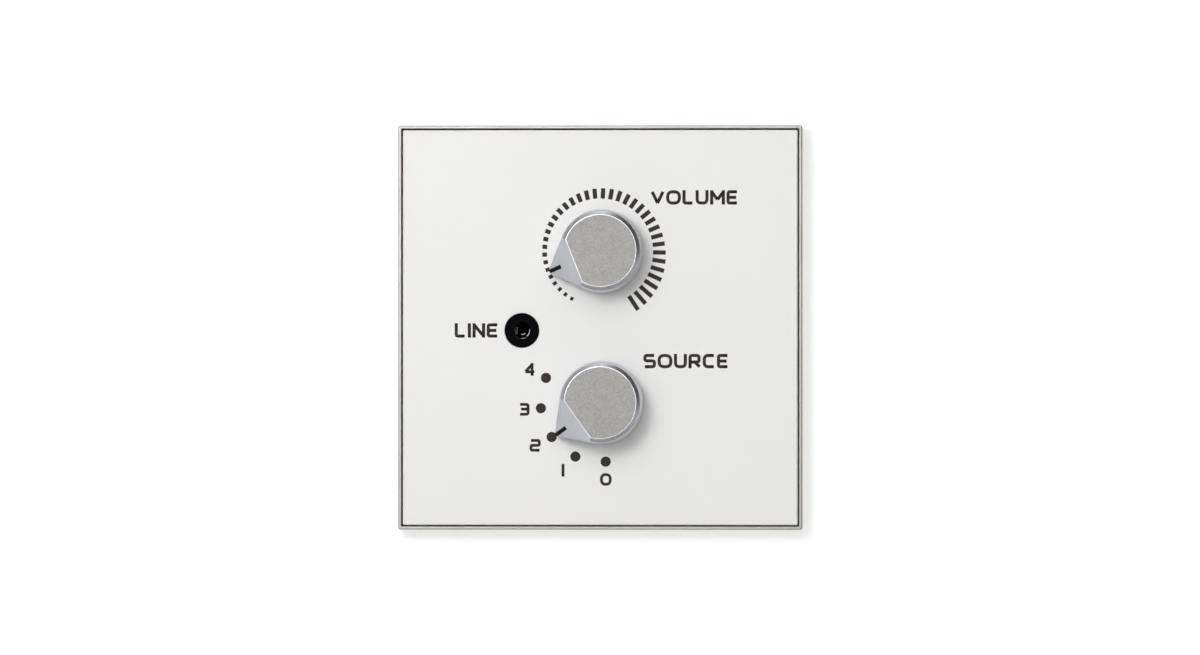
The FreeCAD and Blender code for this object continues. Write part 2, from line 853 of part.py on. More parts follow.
def pot_wiper():
    """The sprung wiper under the rotor, with its foot on the track."""
    plate_y = pot_rotor_front_y - wiper_thickness
    track_y = wafer_back_y + track_thickness + running_gap
    plate = sector(track_outer_r, track_inner_r, plate_y, pot_rotor_front_y, 0.0, wiper_plate_half_angle)
    middle_r = (track_outer_r + track_inner_r) / 2
    half = wiper_foot_width / 2
    foot = sector(middle_r + half, middle_r - half, track_y, plate_y, 0.0, wiper_half_angle)
    return joined([plate, foot])


def switch_bushing():
    """The switch's bushing: a recess for the stop washer, a slot for its tab and a fixed stop peg."""
    body = threaded_bushing(switch_case_r)
    recess_y = wall_y + stop_washer_thickness + 2 * press_gap
    recess = ring(stop_outer_r + panel_fit, bushing_r, wall_y, recess_y)
    slot = sector(
        stop_outer_r + panel_fit,
        stop_inner_r - panel_fit,
        wall_y,
        flange_back_y,
        stop_tab_angle,
        stop_peg_half_angle + stop_slot_margin_angle,
    )
    peg = sector(
        stop_outer_r, stop_inner_r, flange_back_y, switch_stop_back_y, stop_peg_angle, stop_peg_half_angle
    )
    return joined([without(body, recess, slot), peg])


def stop_washer():
    """The washer whose tab sets how many positions the switch has."""
    y0 = wall_y + press_gap
    flat = ring(stop_outer_r, bushing_hole_r, y0, y0 + stop_washer_thickness)
    tab = sector(stop_outer_r, stop_inner_r, y0, switch_stop_back_y, stop_tab_angle, stop_peg_half_angle)
    return joined([flat, tab])


def switch_housing():
    """The switch's round housing."""
    return ring(switch_case_r, switch_inner_r, flange_back_y, switch_base_front_y)


def switch_pin_places():
    """The five position pins on their circle, and the common pin near the middle."""
    outer = [spot(contact_ring_r, angle) for angle in dot_angles()]
    return outer + [spot(common_pin_r, select_rest + 180.0)]


def switch_base():
    """The contact wafer that closes the housing."""
    base = rod(switch_case_r, switch_base_front_y, switch_base_back_y)
    for x, z in switch_pin_places():
        base = base.cut(rod(contact_pin_r + press_gap, switch_base_front_y, switch_base_back_y, x, z))
    return base


def switch_contacts():
    """Five round contacts and the common ring, each with its pin through the base and the board."""
    places = switch_pin_places()
    heads = [rod(contact_pad_r, contact_front_y, switch_base_front_y, x, z) for x, z in places[:-1]]
    heads.append(ring(common_outer_r, common_inner_r, contact_front_y, switch_base_front_y))
    pins = [rod(contact_pin_r, switch_base_front_y, pin_end_y, x, z) for x, z in places]
    return [joined([head, pin]) for head, pin in zip(heads, pins)]


def switch_rotor():
    """The notched rotor on the shaft's end, with its stop lug in front."""
    disc = rod(switch_rotor_r, switch_rotor_front_y, switch_rotor_back_y)
    for i in range(detents):
        x, z = spot(detent_notch_place, i * 360.0 / detents)
        disc = disc.cut(rod(detent_notch_r, switch_rotor_front_y, switch_rotor_back_y, x, z))
    lug_front = flange_back_y + running_gap
    stop = sector(stop_outer_r, stop_inner_r, lug_front, switch_rotor_front_y, 180.0, stop_lug_half_angle)
    socket = rod(shaft_r + press_gap, switch_rotor_front_y, switch_rotor_back_y - switch_shaft_end_wall)
    return joined([disc, stop]).cut(socket)


def detent_spring():
    """The leaf that snaps into the rotor's notches: flat, with a round nose at its middle."""
    y0 = (switch_rotor_front_y + switch_rotor_back_y - detent_leaf_width) / 2
    y1 = y0 + detent_leaf_width
    near = detent_notch_place
    far = near + detent_leaf_thickness
    half = math.sqrt((switch_inner_r - running_gap) ** 2 - far ** 2)
    leaf = block(-half, half, y0, y1, -far, -near)
    nose = rod(detent_nose_r, y0, y1, 0, -near).common(block(-half, half, y0, y1, -near, 0))
    return joined([leaf, nose])


def contact_bridge():
    """The sprung bar that joins the common ring to one contact."""
    half = bridge_width / 2
    bar = block(
        -half, half, switch_rotor_back_y, bridge_back_y, -contact_ring_r - half, -common_pin_r + half
    )
    foot_y = contact_front_y - running_gap
    feet = [rod(bridge_foot_r, bridge_back_y, foot_y, 0, -r) for r in (contact_ring_r, common_pin_r)]
    return joined([bar] + feet)


def spring_foot_x(line):
    return line[0][0]


def spring_feet():
    """How far to the side each contact spring of the socket stands at its foot."""
    return [spring_foot_x(line) for line in (tip_spring_line, ring_spring_line, switch_spring_line)]


def jack_spring(line):
    """One contact spring of the socket, with its pin through the board."""
    half = jack_spring_width / 2
    foot = jack_chamber_back_y
    points = [(x, foot - ahead) for x, ahead in line]
    leaf = flat_prism(ribbon(points, jack_spring_thickness), -half, half)
    pin_x = spring_foot_x(line)
    thin = jack_spring_thickness / 2
    pin = block(pin_x - thin, pin_x + thin, foot, pin_end_y, -jack_pin_width / 2, jack_pin_width / 2)
    return moved(joined([leaf, pin]), jack_x, jack_z)


def jack_sleeve():
    """The sleeve contact: a tube in the barrel with a tail to the board."""
    tube = ring(jack_bore_r + sleeve_wall, jack_bore_r, sleeve_front_y, sleeve_back_y)
    half = sleeve_tail_width / 2
    near = sleeve_tail_place - jack_spring_thickness / 2
    far = sleeve_tail_place + jack_spring_thickness / 2
    start = sleeve_back_y - sleeve_bridge_depth
    bridge = block(-half, half, start, sleeve_back_y, jack_bore_r + sleeve_wall / 2, far)
    tail = block(-half, half, start, board_front_y - pin_fit, near, far)
    pin = block(-jack_pin_width / 2, jack_pin_width / 2, start, pin_end_y, near, far)
    return moved(joined([tube, bridge, tail, pin]), jack_x, jack_z)


def jack_body():
    """The socket's black body, with its barrel through the plate and its chamber for the contacts."""
    half = jack_body_half
    barrel = rod(jack_barrel_r, jack_front_y, jack_body_front_y)
    box = block(-half, half, jack_body_front_y, board_front_y, -half, half)
    sleeve_hole = rod(jack_bore_r + sleeve_wall + press_gap, sleeve_front_y, sleeve_back_y + press_gap)
    bore = rod(jack_bore_r, jack_front_y, jack_chamber_front_y)
    wide = max(jack_spring_width / 2, jack_bore_r) + jack_chamber_fit
    chamber = block(
        jack_chamber_left, jack_chamber_right, jack_chamber_front_y, jack_chamber_back_y, -wide, wide
    )
    body = without(joined([barrel, box]), sleeve_hole, bore, chamber)
    slot = jack_spring_thickness / 2 + pin_fit
    slot_half = jack_pin_width / 2 + pin_fit
    for x in spring_feet():
        body = body.cut(block(x - slot, x + slot, jack_chamber_back_y, board_front_y, -slot_half, slot_half))
    tail = sleeve_tail_width / 2 + pin_fit
    start = sleeve_back_y - sleeve_bridge_depth - press_gap
    high = sleeve_tail_place + slot
    gate = block(-tail, tail, start, sleeve_back_y + press_gap, jack_bore_r, high)
    channel = block(-tail, tail, start, board_front_y, sleeve_tail_place - slot, high)
    return moved(without(body, gate, channel), jack_x, jack_z)


def jack_pin_places():
    """Where the socket's four pins go through the board."""
    return [(x, 0.0) for x in spring_feet()] + [(0.0, sleeve_tail_place)]


def can_pin_places():
    half = can_lead_pitch / 2
    return [(x + side * half, z) for x, z in can_places for side in (-1, 1)]


def header_pin_places(ways):
    """The pins of a terminal block, in a row."""
    first = -(ways - 1) / 2 * terminal_pitch
    return [(first + i * terminal_pitch, 0.0) for i in range(ways)]


def rear_joints():
    """Each pin soldered at the back of the board, as (x, z, radius)."""
    level_axis, select_axis = control_axes()
    pot_r = math.hypot(pot_pin_width, pot_pin_thickness) / 2
    jack_r = math.hypot(jack_pin_width, jack_spring_thickness) / 2
    pins = [(x, z, pot_r) for x, z in placed(pot_pin_places(), level_axis)]
    pins += [(x, z, contact_pin_r) for x, z in placed(switch_pin_places(), select_axis)]
    pins += [(x, z, jack_r) for x, z in placed(jack_pin_places(), (jack_x, jack_z))]
    pins += [(x, z, can_lead_r) for x, z in can_pin_places()]
    return pins


def front_joints():
    """Each pin soldered at the front of the board, as (x, z, radius)."""
    radius = header_pin_width / math.sqrt(2)
    pins = placed(header_pin_places(control_ways), (control_x, control_z))
    pins += placed(header_pin_places(audio_ways), (audio_x, audio_z))
    return [(x, z, radius) for x, z in pins]


def circuit_board():
    """The board, drilled for every pin and for its four screws."""
    half_x, half_z, cut = board_width / 2, board_height / 2, board_corner
    outline = [
        (-half_x, -half_z + cut),
        (-half_x, half_z - cut),
        (-half_x + cut, half_z),
        (half_x - cut, half_z),
        (half_x, half_z - cut),
        (half_x, -half_z + cut),
        (half_x - cut, -half_z),
        (-half_x + cut, -half_z),
    ]
    board = prism(outline, board_front_y, board_back_y)
    for x, z, radius in rear_joints() + front_joints():
        board = board.cut(rod(radius + pin_fit, board_front_y, board_back_y, x, z))
    for x, z in spacer_places():
        board = board.cut(rod(board_screw_hole_r, board_front_y, board_back_y, x, z))
    return board


def solder_joints():
    """A small cone of solder round each pin, at the side it is soldered from."""
    cones = []
    for x, z, radius in rear_joints():
        end = board_back_y + solder_height
        cone = taper(radius + solder_foot, radius + solder_top, board_back_y, end, x, z)
        cones.append(cone.cut(rod(radius + press_gap, board_back_y, end, x, z)))
    for x, z, radius in front_joints():
        end = board_front_y - solder_height
        cone = taper(radius + solder_top, radius + solder_foot, end, board_front_y, x, z)
        cones.append(cone.cut(rod(radius + press_gap, end, board_front_y, x, z)))
    return cones


def board_spacers():
    """Four hexagonal spacers, riveted into the tray's floor."""
    post = hexagon(spacer_flats, wall_y, board_front_y)
    shank = rod(spacer_shank_r, floor_front_y, wall_y)
    thread = rod(spacer_thread_r, board_front_y - spacer_thread_depth, board_front_y)
    spacer = joined([post, shank]).cut(thread)
    return [moved(spacer, x, z) for x, z in spacer_places()]


def board_screws():
    """Four pan-head screws with cross recesses."""
    head_end = board_back_y + board_screw_head_height
    tip_y = board_back_y - board_screw_length
    head_r = board_screw_head_r
    shank_r = spacer_thread_r - press_gap
    screw = lathe([
        (0, tip_y),
        (shank_r, tip_y),
        (shank_r, board_back_y),
        (head_r, board_back_y),
        (head_r, board_back_y + board_screw_rim),
        (head_r - board_screw_crown, head_end),
        (0, head_end),
    ])
    half, long_half = board_screw_recess_width / 2, board_screw_recess_length / 2
    bottom = head_end - board_screw_recess_depth
    screw = screw.cut(block(-half, half, bottom, head_end, -long_half, long_half))
    screw = screw.cut(block(-long_half, long_half, bottom, head_end, -half, half))
    return [moved(screw, x, z) for x, z in spacer_places()]


def header_half_width(ways):
    """Half the width inside a header."""
    return ways * terminal_pitch / 2 + header_side_margin


def header(ways):
    """An open box on the back of the board that guides a plug onto its pins."""
    inside = header_half_width(ways)
    outside = inside + header_wall
    high = header_height / 2
    low = header_cavity_half
    box = block(-outside, outside, board_back_y, header_mouth_y, -high, high)
    box = box.cut(block(-inside, inside, header_floor_y, header_mouth_y, -low, low))
    half = header_pin_width / 2 + press_gap
    key = key_width / 2
    for x, _z in header_pin_places(ways):
        box = box.cut(block(x - half, x + half, board_back_y, header_floor_y, -half, half))
        box = box.cut(block(x - key, x + key, header_mouth_y - key_depth, header_mouth_y, low, high))
    return box


def header_pins(ways):
    """Square pins from the front of the board to just below the header's mouth."""
    half = header_pin_width / 2
    y0 = board_front_y - pin_tail
    y1 = header_mouth_y - header_pin_below_mouth
    return [block(x - half, x + half, y0, y1, -half, half) for x, _z in header_pin_places(ways)]


def plug_shell(ways):
    """A plug's outside: a ribbed nose in the header and a larger bevelled body behind it."""
    half = header_half_width(ways) - plug_fit
    nose_half = header_cavity_half - plug_fit
    high = plug_body_height / 2
    rest = block(-half, half, plug_body_y, plug_back_y, -high, high)
    rest = rest.makeChamfer(plug_bevel, front_edges(rest, plug_back_y))
    pieces = [block(-half, half, plug_nose_y, plug_body_y, -nose_half, nose_half), rest]
    rib = key_width / 2 - plug_fit
    rib_y = header_mouth_y - key_depth + plug_fit
    for x, _z in header_pin_places(ways):
        pieces.append(block(x - rib, x + rib, rib_y, plug_body_y, nose_half, header_height / 2 - plug_fit))
    return joined(pieces)


def plug_body(ways):
    """The pull-off plug, with a pin socket, a clamp room, a wire entry and a screw hole in each way."""
    body = plug_shell(ways)
    high = plug_body_height / 2
    room_half = cage_outer / 2 + cage_fit
    entry = wire_entry / 2
    fork_half = header_pin_width / 2 + running_gap + fork_thickness + cage_fit
    side = fork_width / 2 + cage_fit
    screw_r = clamp_screw_r + clamp_screw_hole_fit
    room_y0, room_y1 = cage_front_y - cage_fit, cage_back_y + cage_fit
    for x, _z in header_pin_places(ways):
        socket = block(x - side, x + side, plug_nose_y, cage_front_y, -fork_half, fork_half)
        room = block(x - room_half, x + room_half, room_y0, room_y1, -room_half, room_half)
        wire = block(x - entry, x + entry, cage_back_y, plug_back_y, -entry, entry)
        hole = Part.makeCylinder(screw_r, high, Vector(x, clamp_screw_y, 0), Vector(0, 0, 1))
        body = without(body, socket, room, wire, hole)
    return body


def plug_clamps(ways):
    """A clamp cage in each way, with the fork that grips the header's pin."""
    outer = cage_outer / 2
    inner = outer - cage_wall
    pin_half = header_pin_width / 2 + running_gap
    side = fork_width / 2
    clamps = []
    for x, _z in header_pin_places(ways):
        cage = block(x - outer, x + outer, cage_front_y, cage_back_y, -outer, outer)
        room = block(x - inner, x + inner, cage_front_y + cage_wall, cage_back_y, -inner, inner)
        tap_r = clamp_screw_shank_r + press_gap
        tap = Part.makeCylinder(tap_r, outer, Vector(x, clamp_screw_y, 0), Vector(0, 0, 1))
        parts = [without(cage, room, tap)]
        for near in (pin_half, -pin_half - fork_thickness):
            fork_y = plug_nose_y + fork_setback
            parts.append(block(x - side, x + side, fork_y, cage_front_y, near, near + fork_thickness))
        clamps.append(joined(parts))
    return clamps


def plug_screws(ways):
    """A slotted clamp screw in each way."""
    up = Vector(0, 0, 1)
    top = plug_body_height / 2 - clamp_screw_sunk
    head_z = cage_outer / 2 + cage_fit
    half = clamp_screw_slot / 2
    screws = []
    for x, _z in header_pin_places(ways):
        head = Part.makeCylinder(clamp_screw_r, top - head_z, Vector(x, clamp_screw_y, head_z), up)
        shank = Part.makeCylinder(clamp_screw_shank_r, head_z, Vector(x, clamp_screw_y, 0), up)
        slot = block(
            x - clamp_screw_r,
            x + clamp_screw_r,
            clamp_screw_y - half,
            clamp_screw_y + half,
            top - clamp_screw_slot_depth,
            top,
        )
        screws.append(joined([head, shank]).cut(slot))
    return screws


def amplifier_body():
    """The line amplifier's moulded case."""
    y0 = board_back_y + amplifier_lift
    y1 = y0 + amplifier_thickness
    half_x, half_z = amplifier_width / 2, amplifier_height / 2
    body = block(-half_x, half_x, y0, y1, -half_z, half_z)
    corner_x, corner_z = amplifier_dimple_inset - half_x, half_z - amplifier_dimple_inset
    dimple = rod(amplifier_dimple_r, y1 - amplifier_dimple_depth, y1, corner_x, corner_z)
    return moved(body.cut(dimple), amplifier_x, amplifier_z)


def amplifier_lead_group():
    """The bent leads, from the case's sides down to the board."""
    shoulder_y = board_back_y + amplifier_lift + amplifier_thickness / 2
    foot_y = board_back_y + amplifier_lead_thickness / 2
    reach = amplifier_lead_span / 2
    knee = (amplifier_width / 2 + reach) / 2
    half = amplifier_lead_width / 2
    leads = []
    for side in (-1, 1):
        line = [
            (side * amplifier_width / 2, shoulder_y),
            (side * knee, shoulder_y),
            (side * (knee + amplifier_lead_lean), foot_y),
            (side * reach, foot_y),
        ]
        for i in range(amplifier_leads):
            z = (i - (amplifier_leads - 1) / 2) * amplifier_lead_pitch
            lead = flat_prism(ribbon(line, amplifier_lead_thickness), z - half, z + half)
            leads.append(moved(lead, amplifier_x, amplifier_z))
    return leads


def chip(x, z):
    """A small chip part lying on the back of the board."""
    half_x, half_z = chip_length / 2, chip_width / 2
    return block(x - half_x, x + half_x, board_back_y, board_back_y + chip_thickness, z - half_z, z + half_z)


def ladder_resistors():
    """The resistors that give each switch position its own voltage."""
    first = knob_axis_x - (ladder_count - 1) / 2 * ladder_pitch
    return [chip(first + i * ladder_pitch, ladder_z) for i in range(ladder_count)]


def chip_capacitors():
    return [chip(x, z) for x, z in chip_capacitor_places]


def coupling_cans():
    """The aluminium cans of the two upright capacitors, with a rolled groove near the board."""
    end = board_front_y
    inner_r = can_r - can_sleeve_wall
    can = lathe([
        (0, end - can_length),
        (inner_r, end - can_length),
        (inner_r, end - can_groove_place - can_groove),
        (inner_r - can_groove, end - can_groove_place),
        (inner_r, end - can_groove_place + can_groove),
        (inner_r, end),
        (0, end),
    ])
    return [moved(can, x, z) for x, z in can_places]


def can_sleeves():
    """The plastic sleeves shrunk on the cans, open at the end."""
    y0 = board_front_y - can_length
    y1 = board_front_y - can_groove_place - can_groove
    sleeve = ring(can_r, can_r - can_sleeve_wall + press_gap, y0, y1)
    return [moved(sleeve, x, z) for x, z in can_places]


def can_leads():
    return [rod(can_lead_r, board_front_y, pin_end_y, x, z) for x, z in can_pin_places()]


def on_axis(shapes, angle, axis_z):
    """Each named piece of a control turned to an angle and set on its axis."""
    parts = {}
    for name, shape in shapes.items():
        group = shape if isinstance(shape, list) else [shape]
        parts[name] = [moved(turned(member, angle), knob_axis_x, axis_z) for member in group]
    return parts


def level_parts():
    """The pieces that belong to the level control."""
    fixed = {
        "level_pot_bushing": pot_bushing(),
        "level_pot_cover": pot_cover(),
        "level_pot_board": pot_wafer(),
        "level_pot_track": pot_track(),
        "level_pot_terminals": pot_terminals(),
    }
    turning = {
        "level_knob": knob(),
        "level_marker": knob_marker(),
        "level_knob_clip": knob_clip(),
        "level_shaft": shaft(pot_hub_back_y),
        "level_shaft_retainer": shaft_retainer(),
        "level_rotor": pot_rotor(),
        "level_wiper": pot_wiper(),
    }
    return {**on_axis(fixed, 0.0, level_axis_z), **on_axis(turning, level_rest, level_axis_z)}


def select_parts():
    """The pieces that belong to the select switch."""
    fixed = {
        "select_bushing": switch_bushing(),
        "select_stop_washer": stop_washer(),
        "select_housing": switch_housing(),
        "select_contact_base": switch_base(),
        "select_contacts": switch_contacts(),
        "select_detent_spring": turned(detent_spring(), select_rest + detent_angle),
    }
    turning = {
        "select_knob": knob(),
        "select_marker": knob_marker(),
        "select_knob_clip": knob_clip(),
        "select_shaft": shaft(switch_rotor_back_y - switch_shaft_end_wall - running_gap),
        "select_shaft_retainer": shaft_retainer(),
        "select_rotor": switch_rotor(),
        "select_contact_bridge": contact_bridge(),
    }
    return {**on_axis(fixed, 0.0, select_axis_z), **on_axis(turning, select_rest, select_axis_z)}


def plate_parts():
    """The tray, the plate, what is printed on it, and the washers and nuts that clamp the bushings."""
    return {
        "mounting_frame": mounting_frame(),
        "front_plate": front_plate(),
        "level_scale_print": level_scale_print(),
        "select_dots_print": select_dots_print(),
        "bushing_washers": [moved(toothed_washer(), x, z) for x, z in control_axes()],
        "bushing_nuts": [moved(panel_nut(), x, z) for x, z in control_axes()],
    }


def jack_parts():
    return {
        "jack_body": jack_body(),
        "jack_sleeve_contact": jack_sleeve(),
        "jack_tip_spring": jack_spring(tip_spring_line),
        "jack_ring_spring": jack_spring(ring_spring_line),
        "jack_switch_contact": jack_spring(switch_spring_line),
    }


def board_parts():
    return {
        "circuit_board": circuit_board(),
        "board_spacers": board_spacers(),
        "board_screws": board_screws(),
        "solder_joints": solder_joints(),
        "line_amplifier": amplifier_body(),
        "line_amplifier_leads": amplifier_lead_group(),
        "ladder_resistors": ladder_resistors(),
        "chip_capacitors": chip_capacitors(),
        "coupling_capacitors": coupling_cans(),
        "capacitor_sleeves": can_sleeves(),
        "capacitor_leads": can_leads(),
    }


def terminal_parts(name, ways, x, z, angle):
    """A header, its pins and its pull-off plug, turned so that its screws can be reached."""
    shapes = {
        "header": [header(ways)],
        "header_pins": header_pins(ways),
        "plug_body": [plug_body(ways)],
        "plug_clamps": plug_clamps(ways),
        "plug_screws": plug_screws(ways),
    }
    return {
        f"{name}_{part}": [moved(turned(member, angle), x, z) for member in group]
        for part, group in shapes.items()
    }


def write(name, shape):
    """Writes one node, a solid or a group of separate solids."""
    group = shape if isinstance(shape, list) else [shape]
    solids = [s for member in group for s in member.Solids]
    whole = solids[0] if len(solids) == 1 else Part.makeCompound(solids)
    whole.exportStep(f"parts/{name}.step")
    print(f"{name}: {len(solids)} solids, {sum(s.Volume for s in solids):.2f} mm3")


def main():
    os.makedirs("parts", exist_ok=True)
    parts = {
        **plate_parts(),
        **level_parts(),
        **select_parts(),
        **jack_parts(),
        **board_parts(),
        **terminal_parts("control", control_ways, control_x, control_z, control_turn),
        **terminal_parts("audio", audio_ways, audio_x, audio_z, audio_turn),
    }
    for name, shape in parts.items():
        write(name, shape)


main()
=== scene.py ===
"""The looks of a wall volume control: its knobs, its printing, every piece's finish, and a plain stage."""

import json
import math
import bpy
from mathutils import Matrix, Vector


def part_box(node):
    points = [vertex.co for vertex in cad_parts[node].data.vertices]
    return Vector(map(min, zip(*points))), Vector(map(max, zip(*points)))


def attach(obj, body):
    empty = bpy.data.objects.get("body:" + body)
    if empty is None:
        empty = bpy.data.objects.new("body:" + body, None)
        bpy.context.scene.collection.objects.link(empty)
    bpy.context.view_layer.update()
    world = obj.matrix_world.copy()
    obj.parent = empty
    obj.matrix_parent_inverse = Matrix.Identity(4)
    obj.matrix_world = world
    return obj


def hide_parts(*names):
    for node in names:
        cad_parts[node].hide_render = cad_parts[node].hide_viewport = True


bl_info = {
    "name": "Wall volume control",
    "version": (1, 0, 0),
    "blender": (4, 5, 0),
    "location": "3D View > Sidebar > Wall control",
    "description": "Models the knobs and printing of a wall volume control and gives every piece its finish",
    "category": "Object",
}

import bmesh
import bpy
from bpy.props import FloatProperty, FloatVectorProperty, IntProperty, PointerProperty, StringProperty
from mathutils import Matrix, Vector

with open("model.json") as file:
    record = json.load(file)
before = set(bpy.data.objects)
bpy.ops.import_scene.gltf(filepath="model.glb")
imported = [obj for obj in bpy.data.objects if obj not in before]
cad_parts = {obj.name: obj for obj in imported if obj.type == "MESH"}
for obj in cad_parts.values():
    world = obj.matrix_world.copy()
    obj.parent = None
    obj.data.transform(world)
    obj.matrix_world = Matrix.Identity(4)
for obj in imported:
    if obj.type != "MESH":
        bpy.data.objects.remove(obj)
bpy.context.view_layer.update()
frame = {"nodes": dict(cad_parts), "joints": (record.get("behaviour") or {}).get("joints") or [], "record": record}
nodes = frame["nodes"]
record = frame["record"]

mm = 0.001
micron = 0.001 * mm
faces_front = Matrix.Rotation(math.radians(90.0), 4, "X")


def joint_place(name):
    """Where a joint's axis stands on the plate."""
    joint = next(j for j in frame["joints"] if j["name"] == name)
    return Vector(joint["pos_m"])


level_axis = joint_place("level_turn")
select_axis = joint_place("select_turn")
plate_low, plate_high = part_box("front_plate")
board_low, board_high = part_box("circuit_board")
frame_low, frame_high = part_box("mounting_frame")
plate_front_y = plate_low.y
knob_back_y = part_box("level_knob")[1].y


def length(name, description, default):
    """A size in metres, given in millimetres."""
    return FloatProperty(
        name=name, description=description, default=default * mm, min=0.0, subtype="DISTANCE", unit="LENGTH"
    )


def place(name, description, x, z):
    """A place on the plate in metres, given in millimetres from its centre."""
    return FloatVectorProperty(
        name=name, description=description, default=(x * mm, z * mm), size=2, subtype="XYZ", unit="LENGTH"
    )


def metres(name, description, default):
    """A size of the stage, in metres."""
    return FloatProperty(name=name, description=description, default=default, unit="LENGTH")


def colour(name, description, *shade):
    """A colour, as its red, green and blue."""
    return FloatVectorProperty(
        name=name, description=description, default=shade, size=3, min=0.0, max=1.0, subtype="COLOR"
    )


def word(name, description, text):
    """A printed word."""
    return StringProperty(name=name, description=description, default=text)


def turn(name, description, degrees):
    """An angle, given in degrees."""
    return FloatProperty(name=name, description=description, default=math.radians(degrees), subtype="ANGLE")


class KnobSizes(bpy.types.PropertyGroup):
    """Sizes of the two pointer knobs"""

    radius: length("Radius", "Radius of the round part", 8.47)
    reach: length("Pointer reach", "From the axis to the pointer's tip", 11.5)
    tip_radius: length("Tip radius", "Rounding of the pointer's tip", 0.45)
    wall_height: length("Wall height", "Height of the straight wall", 7.0)
    shoulder_height: length("Shoulder height", "Height where the slanted band starts", 11.4)
    shoulder_inset: length("Shoulder inset", "How far the shoulder is drawn in", 0.36)
    height: length("Height", "Height of the knob", 12.0)
    crown_inset: length("Crown inset", "How far the top's edge is drawn in before its cut", 1.03)
    edge_cut: length("Edge cut", "Width of the bright cut round the top", 0.15)
    edge_drop: length("Edge drop", "How far the bright cut slopes down", 0.065)
    small_edge: length("Small edge", "Rounding of the other edges", 0.06)
    facet_start: length("Facet start", "From the axis to the chord where the pointer's slope starts", 5.8)
    facet_tip_height: length("Facet tip height", "Height of the slope at the pointer's tip", 4.0)
    arc_steps: IntProperty(
        name="Arc steps", description="Points on the part that the pointer covers", default=22
    )
    bore_radius: length("Bore radius", "Radius of the bore for the shaft", 3.05)
    bore_depth: length("Bore depth", "Depth of the bore", 9.8)
    hollow_depth: length("Hollow depth", "Depth of the ring hollow behind", 5.0)
    hub_wall: length("Hub wall", "Wall round the bore", 1.75)
    skirt_wall: length("Skirt wall", "Wall round the hollow", 1.4)
    marker_width: length("Marker width", "Width of the marker line", 0.84)
    marker_length: length("Marker length", "Length of the marker line along the slope", 4.74)
    marker_depth: length("Marker depth", "Depth of the marker line's groove", 0.25)
    level_turn: turn("Level pointer", "Clockwise from straight down", 68.6)
    select_turn: turn("Select pointer", "Clockwise from straight down", 54.5)


class SocketSizes(bpy.types.PropertyGroup):
    """Sizes of the sprung fingers inside the audio socket"""

    finger_depth: length("Finger depth", "From the sleeve's front edge back to the fingers", 2.6)


class BoardSizes(bpy.types.PropertyGroup):
    """Sizes of the tracks and outlines on the circuit board"""

    track_width: length("Track width", "Width of a copper track", 0.50)
    track_height: length("Track height", "How far a track stands out of the board", 0.04)
    via_radius: length("Through hole radius", "Radius of the ring round a through hole", 0.32)
    outline_width: length("Outline width", "Width of the white outlines", 0.20)
    outline_gap: length("Outline gap", "From a part to the outline round it", 0.35)


class PrintSizes(bpy.types.PropertyGroup):
    """Places and sizes of the printed numbers and captions"""

    thickness: length("Thickness", "Thickness of the ink", 0.02)
    number_height: length("Number height", "Height of the numbers", 2.6)
    number_stroke: length("Number stroke", "Width of the numbers' strokes", 0.59)
    place_0: place("Place of 0", "Centre of the number 0", 1.2, -31.2)
    place_1: place("Place of 1", "Centre of the number 1", -7.6, -29.3)
    place_2: place("Place of 2", "Centre of the number 2", -13.3, -24.2)
    place_3: place("Place of 3", "Centre of the number 3", -15.6, -16.8)
    place_4: place("Place of 4", "Centre of the number 4", -14.4, -8.6)
    caption_height: length("Caption height", "Height of the captions", 2.95)
    caption_stroke: length("Caption stroke", "Width of the captions' strokes", 0.65)
    letter_gap: FloatProperty(
        name="Letter gap", description="Between two letters, against their height", default=0.42
    )
    upper_text: word("Upper caption", "Word beside the upper knob", "VOLUME")
    upper_start: place("Upper start", "Left end of the upper caption", 10.4, 26.7)
    lower_text: word("Lower caption", "Word beside the lower knob", "SOURCE")
    lower_start: place("Lower start", "Left end of the lower caption", 8.9, -6.9)
    side_text: word("Side caption", "Word beside the audio socket", "LINE")
    side_end: place("Side end", "Right end of the side caption", -20.8, -0.6)


class FinishColours(bpy.types.PropertyGroup):
    """Colours of the finishes"""

    plate: colour("Plate", "Satin white of the front plate", 0.85, 0.845, 0.835)
    # The rim and tray colours are one sheet metal in two tones: the rim's is darkened as painted shade, the tray's
    # lightened as painted light.
    rim: colour("Tray edge", "Brushed metal of the tray's front edge", 0.29, 0.278, 0.264)
    tray: colour("Tray", "Brushed metal of the tray's sides and back", 0.50, 0.487, 0.468)
    knob: colour("Knobs", "Turned metal of the knobs' sides", 0.58, 0.592, 0.625)
    knob_top: colour("Knob tops", "Blasted metal of the knobs' tops", 0.368, 0.363, 0.356)
    knob_cut: colour("Knob cut", "Bright cut edge of the knobs", 0.80, 0.80, 0.80)
    ink: colour("Ink", "Dark brown ink", 0.027, 0.019, 0.015)
    marker: colour("Marker", "Black of the marker lines", 0.003, 0.003, 0.004)
    socket: colour("Socket", "Black of the audio socket", 0.0018, 0.0017, 0.0024)
    resist: colour("Circuit board", "Green of the circuit board", 0.012, 0.105, 0.045)
    terminal: colour("Terminals", "Green of the terminal blocks", 0.035, 0.235, 0.085)


class StageSizes(bpy.types.PropertyGroup):
    """Camera, lamps and backdrop"""

    distance: metres("Distance", "From the plate to the camera", 1.6)
    view_width: metres("View width", "Width that the view takes in at the plate", 0.2464)
    azimuth: turn("Azimuth", "How far the camera stands to the right", 2.0)
    elevation: turn("Elevation", "How far the camera stands above", -0.35)
    wall_size: metres("Wall size", "Side of the wall behind", 3.0)
    floor_drop: metres("Floor drop", "From the centre down to the floor", 0.35)


def wire_math(operation, turned_round=False):
    """A method of Wire that adds one math node."""

    def method(self, *others):
        values = (*others, self) if turned_round else (self, *others)
        return self.owner.node("ShaderNodeMath", {"operation": operation}, dict(enumerate(values)))

    return method


